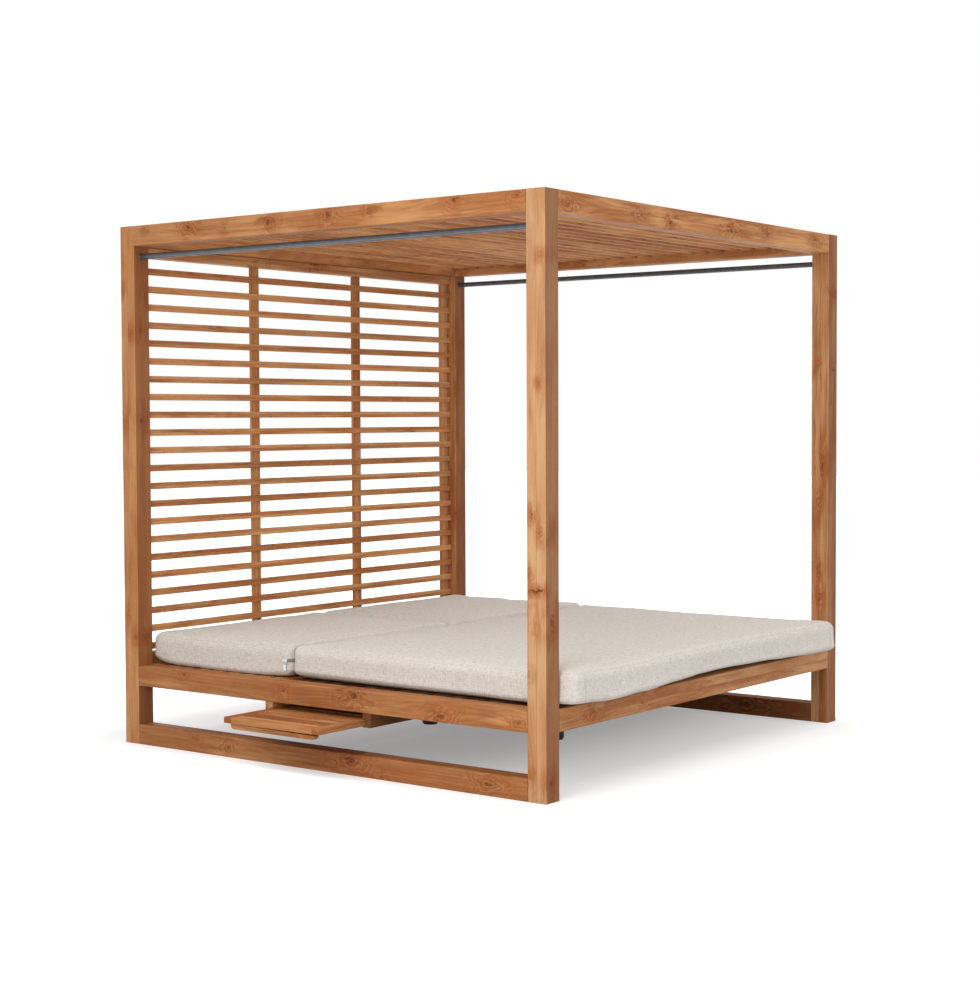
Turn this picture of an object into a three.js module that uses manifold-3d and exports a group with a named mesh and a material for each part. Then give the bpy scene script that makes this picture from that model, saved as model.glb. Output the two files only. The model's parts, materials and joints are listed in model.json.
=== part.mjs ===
// Outdoor daybed with a slatted canopy: a teak frame on four corner posts, a slatted roof and head
// panel, curtain rods in sockets, two trays that slide out at the sides, two reclining backrests on
// notched racks, and three box cushions. Millimetres, +Z up, floor at zero, origin in the middle of the
// frame's footprint.
// The foot end looks to -Y, the head end to +Y, and left is -X.

import * as THREE from "three";
import { mergeVertices } from "three/addons/utils/BufferGeometryUtils.js";
import Module from "manifold-3d";

const wasm = await Module();
wasm.setup();

// Overall frame
const frameWidth = 2072;
const frameLength = 2010;
const frameHeight = 2000;
const postSize = 76;
const railWidth = 76;
const railHeight = 76;
const seatRailTop = 303;
const edgeEase = 3;
const jointGap = 0.3;

// Head panel and roof panel
const panelRailHeight = 38;
const panelSillHeight = 42;
const panelDepth = 48;
const stileSize = 30;
const stileBayCount = 3;
const slatHeight = 25.5;
const slatThickness = 18;
const slatHousing = 1;
const slatEase = 1.5;
const headSlatCount = 22;
const headSlatTopGap = 40;
const headSlatBottomGap = 12;
const roofSlatCount = 25;
const roofSlatHousing = 3;

// Curtain rods
const rodDiameter = 22;
const rodDrop = 40;
const rodSides = 16;
const cupWall = 1.6;
const cupDepth = 9;
const cupClearance = 0.4;
const flangeWidth = 1.5;
const flangeThickness = 2.5;

// Seat deck and what carries it
const deckThickness = 15;
const deckSlatWidth = 60;
const deckSlatGap = 20;
const deckSideGap = 3;
const deckEndGap = 4;
const deckBattenWidth = 22;
const deckBattenHeight = 30;
const deckBattenShare = 0.54;
const beamWidth = 76;
const ledgerWidth = 25;
const ledgerHeight = 40;
const legDiameter = 67;
const legRunnerGap = 29;
const legChamfer = 2;
const legSides = 24;

// Reclining backrests
const cushionSplit = 200;
const hingeBehindSplit = 15;
const hingeRailWidth = 45;
const hingeRailSetback = 37;
const bearerWidth = 22;
const bearerHeight = 30;
const bearerSetback = 46;
const backSlatStart = 10;
const boltDiameter = 8;
const boltHeadDiameter = 14;
const boltHeadLength = 5;
const boltClearance = 0.6;
const washerGap = 1;

// Props and racks that hold a backrest up
const propFootMargin = 50;
const armWidth = 20;
const armHeight = 24;
const propPivotDiameter = 12;
const propFootDiameter = 14;
const pinClearance = 0.4;
const landClearance = 0.5;
const rackWidth = 22;
const rackClearance = 1;
const earLength = 57;
const earCorner = 8;
const notchRadius = 8.5;
const reclineStops = [15, 30, 45, 60];
const braceSize = 20;
const bracePlaceShare = 0.55;
const sideRunning = 2;
const pinSides = 12;
const nutSides = 6;
const notchSteps = 6;

// Sliding trays
const trayTop = 204;
const trayThickness = 22;
const trayWidth = 455;
const trayDepth = 420;
const trayReach = 237;
const trayBattenWidth = 36;
const traySlatCount = 7;
const traySlatGap = 7;
const trayTongue = 3;
const trayRunning = 1;
const runnerWidth = 36;
const runnerHeight = 50;
const runnerGrooveDepth = 12;
const apronHalfWidth = 200;
const apronDrop = 20;
const apronThickness = 24;
const apronSetback = 6;
const apronCorner = 14;
const apronCornerSteps = 4;
const stopThickness = 20;
const stopWidth = 40;
const stopHeight = 40;

// Cushions
const cushionSideGap = 5;
const cushionSplitGap = 10;
const cushionEdgeHeight = 114;
const cushionCrown = 14;
const cushionOverhang = 35;
const cushionHeadGap = 22;
const cushionEdgeRadius = 22;
const cushionBulge = 5;
const cushionDrawIn = 6;
const cushionFootCorner = 90;
const cushionCorner = 24;
const cushionRest = 0.5;
const crownShares = [0.1, 0.3, 0.55, 0.8];
const cornerSteps = 4;
const sideSteps = 6;
const edgeSteps = 3;

// Places that follow from those sizes
const halfWidth = frameWidth / 2;
const halfLength = frameLength / 2;
const postInnerX = halfWidth - postSize;
const postInnerY = halfLength - postSize;
const railInnerX = halfWidth - railWidth;
const railInnerY = halfLength - railWidth;
const topRailBottom = frameHeight - railHeight;
const seatRailBottom = seatRailTop - railHeight;
const deckBottom = seatRailTop - deckThickness;
const carrierTop = deckBottom - jointGap;
const carrierBottom = seatRailBottom + jointGap;
const beamHalf = beamWidth / 2;
const ledgerInner = railInnerX - jointGap - ledgerWidth;
const bayCentre = (beamHalf + railInnerX) / 2;
const bayHalf = (railInnerX - beamHalf) / 2;
const deckInnerX = deckSideGap;
const deckOuterX = railInnerX - deckSideGap;
const hingeY = cushionSplit + hingeBehindSplit;
const hingeZ = deckBottom - bearerHeight / 2;
const hingeRailRear = hingeY - hingeRailSetback;
const deckHeadY = railInnerY - deckEndGap;
const propLength = (deckHeadY - hingeY - propFootMargin) / 2;
const bearerOffset = bayHalf - bearerSetback;
const bearerInner = bearerOffset - bearerWidth / 2;
const rackOffset = bearerInner - rackClearance - rackWidth / 2;
const armOffset = rackOffset - rackWidth / 2 - rackClearance - armWidth / 2;
const landTop = hingeZ - propFootDiameter / 2 - landClearance;
const runnerInner = trayWidth / 2 + trayRunning - runnerGrooveDepth;
const legOffset = runnerInner + runnerWidth + legRunnerGap + legDiameter / 2;

const teak = new THREE.MeshStandardMaterial({ color: 0xb97f50, roughness: 0.62, metalness: 0 });
const fabric = new THREE.MeshStandardMaterial({ color: 0xc8c0b6, roughness: 0.95, metalness: 0 });
const darkMetal = new THREE.MeshStandardMaterial({ color: 0x4a4b4e, roughness: 0.45, metalness: 0.6 });
const blackFoot = new THREE.MeshStandardMaterial({ color: 0x17171a, roughness: 0.6, metalness: 0 });
const stainless = new THREE.MeshStandardMaterial({ color: 0xb9bbbd, roughness: 0.3, metalness: 1 });

// A profile's own X, Y and depth laid along the part's axes, for a length that runs along X, Y or Z.
const unitX = new THREE.Vector3(1, 0, 0);
const unitY = new THREE.Vector3(0, 1, 0);
const unitZ = new THREE.Vector3(0, 0, 1);
const layAlong = {
  x: new THREE.Matrix4().makeBasis(unitY, unitZ, unitX),
  y: new THREE.Matrix4().makeBasis(unitZ, unitX, unitY),
  z: new THREE.Matrix4().makeBasis(unitX, unitY, unitZ),
};

// Turns a closed geometry into a solid that can be joined and cut.
function solidOf(geometry) {
  const bare = geometry.clone();
  bare.deleteAttribute("normal");
  bare.deleteAttribute("uv");
  const merged = mergeVertices(bare);
  return new wasm.Manifold(
    new wasm.Mesh({
      numProp: 3,
      vertProperties: new Float32Array(merged.attributes.position.array),
      triVerts: new Uint32Array(merged.index.array),
    }),
  );
}

// Turns a solid back into a geometry with a normal on each face.
function geometryOf(solid) {
  const mesh = solid.getMesh();
  const indexed = new THREE.BufferGeometry();
  indexed.setAttribute("position", new THREE.BufferAttribute(mesh.vertProperties, mesh.numProp));
  indexed.setIndex(new THREE.BufferAttribute(mesh.triVerts, 1));
  const faceted = indexed.toNonIndexed();
  faceted.computeVertexNormals();
  return faceted;
}

function joinAll(solids) {
  return solids.reduce((whole, next) => whole.add(next));
}

function cutAll(solid, tools) {
  return tools.reduce((rest, tool) => rest.subtract(tool), solid);
}

// A rectangle about the origin whose four corners are cut at 45 degrees.
function easedRectangle(width, height, ease) {
  const x = width / 2;
  const y = height / 2;
  const shape = new THREE.Shape();
  shape.moveTo(ease - x, -y);
  shape.lineTo(x - ease, -y);
  shape.lineTo(x, ease - y);
  shape.lineTo(x, y - ease);
  shape.lineTo(x - ease, y);
  shape.lineTo(ease - x, y);
  shape.lineTo(-x, y - ease);
  shape.lineTo(-x, ease - y);
  return shape;
}

// A profile drawn in its own plane and drawn out both ways from the middle along X, Y or Z.
function drawnOut(shape, length, along, curveSegments = pinSides) {
  const geometry = new THREE.ExtrudeGeometry(shape, { depth: length, bevelEnabled: false, curveSegments });
  geometry.translate(0, 0, -length / 2);
  return geometry.applyMatrix4(layAlong[along]);
}

// A bar with eased long edges that fills the space between two corners, as [x, y, z] each.
function barBetween(low, high, along, ease) {
  const size = high.map((value, axis) => value - low[axis]);
  const section = { x: [size[1], size[2], size[0]], y: [size[2], size[0], size[1]], z: size }[along];
  const shape = easedRectangle(section[0], section[1], ease);
  return {
    geometry: drawnOut(shape, section[2], along),
    centre: low.map((value, axis) => (value + high[axis]) / 2),
  };
}

function solidBar(low, high, along, ease = 0) {
  const { geometry, centre } = barBetween(low, high, along, ease);
  return solidOf(geometry.translate(...centre));
}

// A round pin along X about the given point of the YZ plane.
function solidPin(diameter, length, centre, sides = pinSides) {
  const geometry = new THREE.CylinderGeometry(diameter / 2, diameter / 2, length, sides);
  return solidOf(geometry.rotateZ(-Math.PI / 2).translate(...centre));
}

function addMesh(parent, name, geometry, material, place = [0, 0, 0]) {
  const mesh = new THREE.Mesh(geometry, material);
  mesh.name = name;
  mesh.position.set(...place);
  parent.add(mesh);
  return mesh;
}

function addBar(parent, name, low, high, along, ease = edgeEase) {
  const { geometry, centre } = barBetween(low, high, along, ease);
  return addMesh(parent, name, geometry, teak, centre);
}

const sides = [
  { name: "left", sign: -1 },
  { name: "right", sign: 1 },
];
const ends = [
  { name: "foot", sign: -1 },
  { name: "head", sign: 1 },
];

// Orders two numbers, so that a mirrored box keeps its low corner first.
function span(a, b) {
  return [Math.min(a, b), Math.max(a, b)];
}

// Four square corner posts.
function buildPosts() {
  const group = new THREE.Group();
  for (const side of sides) {
    for (const end of ends) {
      const [x0, x1] = span(side.sign * postInnerX, side.sign * halfWidth);
      const [y0, y1] = span(end.sign * postInnerY, end.sign * halfLength);
      addBar(group, `post_${end.name}_${side.name}`, [x0, y0, 0], [x1, y1, frameHeight], "z");
    }
  }
  return group;
}

// Rails at the top and at seat height on all four sides, and at the floor on the left and right.
function buildRails() {
  const group = new THREE.Group();
  const levels = [
    { name: "top_rail", bottom: topRailBottom, withEnds: true },
    { name: "seat_rail", bottom: seatRailBottom, withEnds: true },
    { name: "floor_rail", bottom: 0, withEnds: false },
  ];
  const alongX = postInnerX - jointGap;
  const alongY = postInnerY - jointGap;
  for (const level of levels) {
    const top = level.bottom + railHeight;
    for (const side of sides) {
      const [x0, x1] = span(side.sign * railInnerX, side.sign * halfWidth);
      addBar(group, `${level.name}_${side.name}`, [x0, -alongY, level.bottom], [x1, alongY, top], "y");
    }
    for (const end of level.withEnds ? ends : []) {
      const [y0, y1] = span(end.sign * railInnerY, end.sign * halfLength);
      addBar(group, `${level.name}_${end.name}`, [-alongX, y0, level.bottom], [alongX, y1, top], "x");
    }
  }
  return group;
}

// The places across the frame of the stiles of the head panel and the battens of the roof.
function stilePlaces() {
  const outer = railInnerX - jointGap - stileSize / 2;
  const inner = railInnerX / stileBayCount;
  return [-outer, -inner, inner, outer];
}

// The slatted panel behind the head end: two rails, and slats let into four stiles.
function buildHeadPanel() {
  const group = new THREE.Group();
  const reach = postInnerX - jointGap;
  const back = halfLength;
  const front = back - panelDepth;
  const railTop = topRailBottom - jointGap;
  const railBottom = railTop - panelRailHeight;
  const sillBottom = seatRailTop + jointGap;
  const sillTop = sillBottom + panelSillHeight;
  addBar(group, "head_panel_top_rail", [-reach, front, railBottom], [reach, back, railTop], "x");
  addBar(group, "head_panel_sill", [-reach, front, sillBottom], [reach, back, sillTop], "x");

  const stileFront = back - stileSize;
  const stiles = stilePlaces().map((x) =>
    solidBar(
      [x - stileSize / 2, stileFront, sillTop + jointGap],
      [x + stileSize / 2, back, railBottom - jointGap],
      "z",
    ),
  );
  const lowest = sillTop + headSlatBottomGap;
  const highest = railBottom - headSlatTopGap - slatHeight;
  const pitch = (highest - lowest) / (headSlatCount - 1);
  const slatBack = stileFront + slatHousing;
  const slats = [];
  for (let i = 0; i < headSlatCount; i++) {
    const z = lowest + i * pitch;
    slats.push(solidBar([-reach, slatBack - slatThickness, z], [reach, slatBack, z + slatHeight], "x"));
  }
  addMesh(group, "head_panel_slats", geometryOf(joinAll([...stiles, ...slats])), teak);
  return group;
}

// The roof: slats across the frame, let into the underside of four battens that run its length.
function buildRoof() {
  const group = new THREE.Group();
  const reachX = railInnerX - jointGap;
  const reachY = railInnerY - jointGap;
  const battenBottom = frameHeight - stileSize;
  const slatTop = battenBottom + roofSlatHousing;
  const battens = stilePlaces().map((x) =>
    solidBar([x - stileSize / 2, -reachY, battenBottom], [x + stileSize / 2, reachY, frameHeight], "y"),
  );
  const gap = (2 * railInnerY - roofSlatCount * slatHeight) / (roofSlatCount + 1);
  const slats = [];
  for (let i = 0; i < roofSlatCount; i++) {
    const y = gap - railInnerY + i * (slatHeight + gap);
    slats.push(solidBar([-reachX, y, slatTop - slatThickness], [reachX, y + slatHeight, slatTop], "x"));
  }
  addMesh(group, "roof_slats", geometryOf(joinAll([...battens, ...slats])), teak);
  return group;
}

// A turned socket: a round flange against the post and a cup that takes a rod's end, facing along +Y.
function bracketGeometry() {
  const bore = rodDiameter / 2 + cupClearance;
  const outer = bore + cupWall;
  const flange = outer + flangeWidth;
  const rim = flangeThickness + cupDepth;
  const profile = [
    new THREE.Vector2(0, 0),
    new THREE.Vector2(flange, 0),
    new THREE.Vector2(flange, flangeThickness),
    new THREE.Vector2(outer, flangeThickness),
    new THREE.Vector2(outer, rim),
    new THREE.Vector2(bore, rim),
    new THREE.Vector2(bore, flangeThickness),
    new THREE.Vector2(0, flangeThickness),
  ];
  return new THREE.LatheGeometry(profile, rodSides);
}

// A curtain rod under each side's top rail, held at both posts.
function buildCurtainRods() {
  const group = new THREE.Group();
  const x = halfWidth - postSize / 2;
  const z = topRailBottom - rodDrop;
  const socketBack = postInnerY - jointGap;
  const length = 2 * (socketBack - flangeThickness - jointGap);
  for (const side of sides) {
    const rod = new THREE.CylinderGeometry(rodDiameter / 2, rodDiameter / 2, length, rodSides);
    addMesh(group, `curtain_rod_${side.name}`, rod, darkMetal, [side.sign * x, 0, z]);
    for (const end of ends) {
      const name = `rod_bracket_${end.name}_${side.name}`;
      const bracket = addMesh(group, name, bracketGeometry(), darkMetal);
      bracket.position.set(side.sign * x, end.sign * socketBack, z);
      bracket.rotation.z = end.sign > 0 ? Math.PI : 0;
    }
  }
  return group;
}

// The beam under the middle of the deck, on two round legs, and the ledgers on the side rails.
function buildCarriers() {
  const group = new THREE.Group();
  const reach = railInnerY - jointGap;
  addBar(group, "centre_beam", [-beamHalf, -reach, carrierBottom], [beamHalf, reach, carrierTop], "y");
  for (const side of sides) {
    const [x0, x1] = span(side.sign * ledgerInner, side.sign * (railInnerX - jointGap));
    const ledgerLow = carrierTop - ledgerHeight;
    addBar(group, `ledger_${side.name}`, [x0, -reach, ledgerLow], [x1, reach, carrierTop], "y");
  }
  const radius = legDiameter / 2;
  const legTop = carrierBottom - jointGap;
  const profile = [
    new THREE.Vector2(0, 0),
    new THREE.Vector2(radius - legChamfer, 0),
    new THREE.Vector2(radius, legChamfer),
    new THREE.Vector2(radius, legTop),
    new THREE.Vector2(0, legTop),
  ];
  for (const end of ends) {
    const leg = new THREE.LatheGeometry(profile, legSides).rotateX(Math.PI / 2);
    addMesh(group, `centre_leg_${end.name}`, leg, blackFoot, [0, end.sign * legOffset, 0]);
  }
  return group;
}

// Slats laid side by side along Y across the given width, as many as fit, with equal gaps.
function slatRow(x, y, z) {
  const count = Math.round((y[1] - y[0] + deckSlatGap) / (deckSlatWidth + deckSlatGap));
  const gap = (y[1] - y[0] - count * deckSlatWidth) / (count - 1);
  const slats = [];
  for (let i = 0; i < count; i++) {
    const start = y[0] + i * (deckSlatWidth + gap);
    slats.push(solidBar([x[0], start, z[0]], [x[1], start + deckSlatWidth, z[1]], "x"));
  }
  return slats;
}

// The fixed deck under the seat cushion, one half on each side of the centre beam.
function buildSeatDecks() {
  const group = new THREE.Group();
  const y = [deckEndGap - railInnerY, hingeRailRear];
  const battenEnd = hingeRailRear - hingeRailWidth - jointGap;
  for (const side of sides) {
    const x = span(side.sign * deckInnerX, side.sign * deckOuterX);
    const slats = slatRow(x, y, [deckBottom, seatRailTop]);
    const battenOffset = bayHalf * deckBattenShare;
    const battens = [-battenOffset, battenOffset].map((offset) => {
      const middle = side.sign * bayCentre + offset;
      const top = deckBottom + slatHousing;
      return solidBar(
        [middle - deckBattenWidth / 2, y[0], top - deckBattenHeight],
        [middle + deckBattenWidth / 2, battenEnd, top],
        "y",
      );
    });
    addMesh(group, `seat_deck_${side.name}`, geometryOf(joinAll([...slats, ...battens])), teak);
  }
  return group;
}

// The side view of a rack rail: an ear at the hinge, then a land with a notch for each stop.
// Its own X is the distance from the hinge axis, and its own Y the height above it.
function rackShape(start, end) {
  const low = carrierBottom - hingeZ;
  const land = landTop - hingeZ;
  const earTop = carrierTop - hingeZ;
  const earEnd = start + earLength;
  const shape = new THREE.Shape();
  shape.moveTo(start, low);
  shape.lineTo(end, low);
  shape.lineTo(end, land);
  for (const stop of reclineStops) {
    const place = 2 * propLength * Math.cos(THREE.MathUtils.degToRad(stop));
    shape.lineTo(place + notchRadius, land);
    shape.absarc(place, land, notchRadius, 0, Math.PI, true);
  }
  shape.lineTo(earEnd, land);
  shape.lineTo(earEnd, earTop - earCorner);
  shape.absarc(earEnd - earCorner, earTop - earCorner, earCorner, 0, Math.PI / 2);
  shape.lineTo(start, earTop);
  return shape;
}

// The side view of a backrest bearer: straight, with a round nose about the hinge axis.
function bearerShape(length) {
  const half = bearerHeight / 2;
  const shape = new THREE.Shape();
  shape.moveTo(0, -half);
  shape.lineTo(length, -half);
  shape.lineTo(length, half + slatHousing);
  shape.lineTo(backSlatStart, half + slatHousing);
  shape.lineTo(backSlatStart, half);
  shape.absarc(0, 0, half, Math.PI / 2, 1.5 * Math.PI);
  return shape;
}

// The slatted backrest frame: two bearers with holes for the hinge bolts and the prop's pivot rod.
function backrestSolid(side) {
  const length = deckHeadY - hingeY;
  const shift = side.sign * bayCentre;
  const x = span(side.sign * deckInnerX - shift, side.sign * deckOuterX - shift);
  const z = [deckBottom - hingeZ, seatRailTop - hingeZ];
  const bearers = [-bearerOffset, bearerOffset].map((offset) =>
    solidOf(drawnOut(bearerShape(length), bearerWidth, "x").translate(offset, 0, 0)),
  );
  const slats = slatRow(x, [backSlatStart, length], z);
  const through = 2 * (bearerOffset + bearerWidth);
  return cutAll(joinAll([...bearers, ...slats]), [
    solidPin(boltDiameter + 2 * boltClearance, through, [0, 0, 0]),
    solidPin(propPivotDiameter + 2 * pinClearance, through, [0, propLength, 0]),
  ]);
}

// The prop: two arms with round ends and a brace, hanging from the pivot rod.
function propSolid() {
  const radius = armHeight / 2;
  const side = new THREE.Shape();
  side.absarc(propLength, 0, radius, -Math.PI / 2, Math.PI / 2);
  side.absarc(0, 0, radius, Math.PI / 2, 1.5 * Math.PI);
  const arms = [-armOffset, armOffset].map((offset) =>
    solidOf(drawnOut(side, armWidth, "x").translate(offset, 0, 0)),
  );
  const braceY = propLength * bracePlaceShare;
  const braceHalf = braceSize / 2;
  const brace = solidBar(
    [-armOffset, braceY - braceHalf, -braceHalf],
    [armOffset, braceY + braceHalf, braceHalf],
    "x",
  );
  const through = 2 * (armOffset + armWidth);
  return cutAll(joinAll([...arms, brace]), [
    solidPin(propPivotDiameter + 2 * pinClearance, through, [0, 0, 0]),
    solidPin(propFootDiameter + 2 * pinClearance, through, [0, propLength, 0]),
  ]);
}

// A hinge bolt about the origin: its head outside the bearer, its shank through both, its nut inside.
function hingeBoltSolid(direction) {
  const grip = bearerWidth + rackClearance + rackWidth + 2 * washerGap;
  const whole = grip + 2 * boltHeadLength;
  const middle = -(rackClearance + rackWidth) / 2;
  const headPlace = middle + grip / 2 + boltHeadLength / 2;
  const nutPlace = middle - grip / 2 - boltHeadLength / 2;
  return joinAll([
    solidPin(boltDiameter, whole, [direction * middle, 0, 0]),
    solidPin(boltHeadDiameter, boltHeadLength, [direction * headPlace, 0, 0]),
    solidPin(boltHeadDiameter, boltHeadLength, [direction * nutPlace, 0, 0], nutSides),
  ]);
}

// One reclining bay: hinge rail, racks, bolts, backrest and prop, about the middle of the hinge axis.
function buildRecliner(side) {
  const bay = new THREE.Group();
  bay.position.set(side.sign * bayCentre, hingeY, hingeZ);
  const railEnds = span(
    side.sign * (beamHalf + jointGap - bayCentre),
    side.sign * (ledgerInner - jointGap - bayCentre),
  );
  const low = carrierBottom - hingeZ;
  const high = carrierTop - hingeZ;
  addBar(
    bay,
    `hinge_rail_${side.name}`,
    [railEnds[0], -hingeRailSetback - hingeRailWidth, low],
    [railEnds[1], -hingeRailSetback, high],
    "x",
  );

  const rackStart = jointGap - hingeRailSetback;
  const rackEnd = railInnerY - jointGap - hingeY;
  const boltHole = solidPin(boltDiameter + 2 * boltClearance, 2 * rackWidth, [0, 0, 0]);
  const rackBar = solidOf(drawnOut(rackShape(rackStart, rackEnd), rackWidth, "x", notchSteps));
  const rack = geometryOf(rackBar.subtract(boltHole));
  for (const [place, direction] of [["inner", -side.sign], ["outer", side.sign]]) {
    addMesh(bay, `rack_${side.name}_${place}`, rack, teak, [direction * rackOffset, 0, 0]);
    const bolt = geometryOf(hingeBoltSolid(direction));
    addMesh(bay, `hinge_bolt_${side.name}_${place}`, bolt, stainless, [direction * bearerOffset, 0, 0]);
  }

  addMesh(bay, `backrest_${side.name}`, geometryOf(backrestSolid(side)), teak);
  const pivot = geometryOf(solidPin(propPivotDiameter, 2 * bearerOffset + bearerWidth, [0, 0, 0]));
  addMesh(bay, `prop_pivot_rod_${side.name}`, pivot, stainless, [0, propLength, 0]);
  addMesh(bay, `prop_frame_${side.name}`, geometryOf(propSolid()), teak, [0, propLength, 0]);
  const foot = geometryOf(solidPin(propFootDiameter, 2 * (bearerInner - sideRunning), [0, 0, 0]));
  addMesh(bay, `prop_foot_rod_${side.name}`, foot, stainless, [0, 2 * propLength, 0]);
  return bay;
}

// Two grooved runners under the seat rails, across the whole frame, which carry both trays.
function buildRunners() {
  const group = new THREE.Group();
  const top = seatRailBottom - jointGap;
  const grooveLow = trayTop - trayThickness - jointGap;
  const grooveHigh = trayTop + trayRunning;
  const overrun = runnerGrooveDepth;
  for (const end of ends) {
    const outer = runnerInner + runnerWidth;
    const [y0, y1] = span(end.sign * runnerInner, end.sign * outer);
    const bar = solidBar([-halfWidth, y0, top - runnerHeight], [halfWidth, y1, top], "x");
    const [g0, g1] = span(end.sign * (runnerInner - overrun), end.sign * (runnerInner + runnerGrooveDepth));
    const grooveReach = halfWidth + overrun;
    const groove = solidBar([-grooveReach, g0, grooveLow], [grooveReach, g1, grooveHigh], "x");
    addMesh(group, `tray_runner_${end.name}`, geometryOf(bar.subtract(groove)), teak);
  }
  return group;
}

// The tray's front apron, seen from its front: straight on top, round at its lower corners.
function apronShape() {
  const shape = new THREE.Shape();
  shape.moveTo(-apronHalfWidth, 0);
  shape.absarc(apronCorner - apronHalfWidth, apronCorner - apronDrop, apronCorner, Math.PI, 1.5 * Math.PI);
  shape.absarc(apronHalfWidth - apronCorner, apronCorner - apronDrop, apronCorner, -Math.PI / 2, 0);
  shape.lineTo(apronHalfWidth, 0);
  return shape;
}

// A slatted tray drawn out at one side, with its apron in front and its stop block at the back.
function buildTray(side) {
  const group = new THREE.Group();
  const front = halfWidth + trayReach;
  const back = front - trayDepth;
  const z = [trayTop - trayThickness, trayTop];
  const battenInner = trayWidth / 2 - trayBattenWidth;
  const battenX = span(side.sign * back, side.sign * front);
  const battens = ends.map((end) => {
    const [y0, y1] = span(end.sign * battenInner, end.sign * (trayWidth / 2));
    return solidBar([battenX[0], y0, z[0]], [battenX[1], y1, z[1]], "x", slatEase);
  });
  const slatWidth = (trayDepth - (traySlatCount - 1) * traySlatGap) / traySlatCount;
  const slatReach = battenInner + trayTongue;
  const slats = [];
  for (let i = 0; i < traySlatCount; i++) {
    const near = back + i * (slatWidth + traySlatGap);
    const [x0, x1] = span(side.sign * near, side.sign * (near + slatWidth));
    slats.push(solidBar([x0, -slatReach, z[0]], [x1, slatReach, z[1]], "y", slatEase));
  }
  addMesh(group, `tray_${side.name}`, geometryOf(joinAll([...battens, ...slats])), teak);

  const apron = drawnOut(apronShape(), apronThickness, "x", apronCornerSteps);
  const apronX = side.sign * (front - apronSetback - apronThickness / 2);
  addMesh(group, `tray_apron_${side.name}`, apron, teak, [apronX, 0, z[0] - jointGap]);

  const [s0, s1] = span(side.sign * back, side.sign * (back + stopThickness));
  const stopLow = trayTop + jointGap;
  addBar(
    group,
    `tray_stop_${side.name}`,
    [s0, -stopWidth / 2, stopLow],
    [s1, stopWidth / 2, stopLow + stopHeight],
    "z",
    slatEase,
  );
  return group;
}

// The outline of a cushion seen from above: round corners, and sides that draw in between them.
function cushionOutline(low, high, footCorner, headCorner) {
  const corners = [
    { x: high[0], y: low[1], radius: footCorner, start: -Math.PI / 2 },
    { x: high[0], y: high[1], radius: headCorner, start: 0 },
    { x: low[0], y: high[1], radius: headCorner, start: Math.PI / 2 },
    { x: low[0], y: low[1], radius: footCorner, start: Math.PI },
  ];
  const arcs = corners.map(({ x, y, radius, start }) => {
    const centreX = x - Math.sign(x - (low[0] + high[0]) / 2) * radius;
    const centreY = y - Math.sign(y - (low[1] + high[1]) / 2) * radius;
    const points = [];
    for (let i = 0; i <= cornerSteps; i++) {
      const angle = start + (i / cornerSteps) * (Math.PI / 2);
      points.push(new THREE.Vector2(centreX + radius * Math.cos(angle), centreY + radius * Math.sin(angle)));
    }
    return points;
  });
  const outline = [];
  arcs.forEach((arc, index) => {
    outline.push(...arc);
    const from = arc[arc.length - 1];
    const to = arcs[(index + 1) % arcs.length][0];
    const inward = new THREE.Vector2(from.y - to.y, to.x - from.x).normalize();
    for (let i = 1; i < sideSteps; i++) {
      const share = i / sideSteps;
      const depth = cushionDrawIn * Math.sin(Math.PI * share);
      outline.push(from.clone().lerp(to, share).addScaledVector(inward, depth));
    }
  });
  return outline;
}

// The rings of a cushion from the middle of its underside to the middle of its crown, as a share
// of the way to the centre, an inset from the outline and a height.
function cushionRings() {
  const rings = [];
  const arcStep = Math.PI / 2 / edgeSteps;
  for (let i = 0; i <= edgeSteps; i++) {
    const turn = i * arcStep;
    const inset = cushionBulge + cushionEdgeRadius * (1 - Math.sin(turn));
    rings.push({ share: 0, inset, height: cushionEdgeRadius * (1 - Math.cos(turn)) });
  }
  rings.push({ share: 0, inset: 0, height: cushionEdgeHeight / 2 });
  for (let i = edgeSteps; i >= 0; i--) {
    const turn = i * arcStep;
    const inset = cushionBulge + cushionEdgeRadius * (1 - Math.sin(turn));
    rings.push({ share: 0, inset, height: cushionEdgeHeight - cushionEdgeRadius * (1 - Math.cos(turn)) });
  }
  for (const share of crownShares) {
    const rise = cushionCrown * (1 - (1 - share) ** 2);
    rings.push({ share, inset: cushionBulge + cushionEdgeRadius, height: cushionEdgeHeight + rise });
  }
  return rings;
}

// A closed, crowned cushion lofted through its rings, about the middle of its underside.
function cushionGeometry(low, high, footCorner, headCorner) {
  const outline = cushionOutline(low, high, footCorner, headCorner);
  const centre = new THREE.Vector2((low[0] + high[0]) / 2, (low[1] + high[1]) / 2);
  const half = new THREE.Vector2(high[0] - low[0], high[1] - low[1]).divideScalar(2);
  const rings = cushionRings();
  const count = outline.length;
  const positions = [centre.x, centre.y, 0];
  for (const ring of rings) {
    const scaleX = (1 - ring.inset / half.x) * (1 - ring.share);
    const scaleY = (1 - ring.inset / half.y) * (1 - ring.share);
    for (const point of outline) {
      positions.push(centre.x + (point.x - centre.x) * scaleX);
      positions.push(centre.y + (point.y - centre.y) * scaleY);
      positions.push(ring.height);
    }
  }
  positions.push(centre.x, centre.y, cushionEdgeHeight + cushionCrown);
  const last = rings.length * count + 1;
  const indices = [];
  for (let i = 0; i < count; i++) {
    const next = (i + 1) % count;
    indices.push(0, 1 + next, 1 + i);
    for (let r = 0; r < rings.length - 1; r++) {
      const a = 1 + r * count;
      const b = a + count;
      indices.push(a + i, a + next, b + next, a + i, b + next, b + i);
    }
    const top = last - count;
    indices.push(top + i, top + next, last);
  }
  const geometry = new THREE.BufferGeometry();
  geometry.setAttribute("position", new THREE.Float32BufferAttribute(positions, 3));
  geometry.setIndex(indices);
  geometry.computeVertexNormals();
  return geometry;
}

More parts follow.
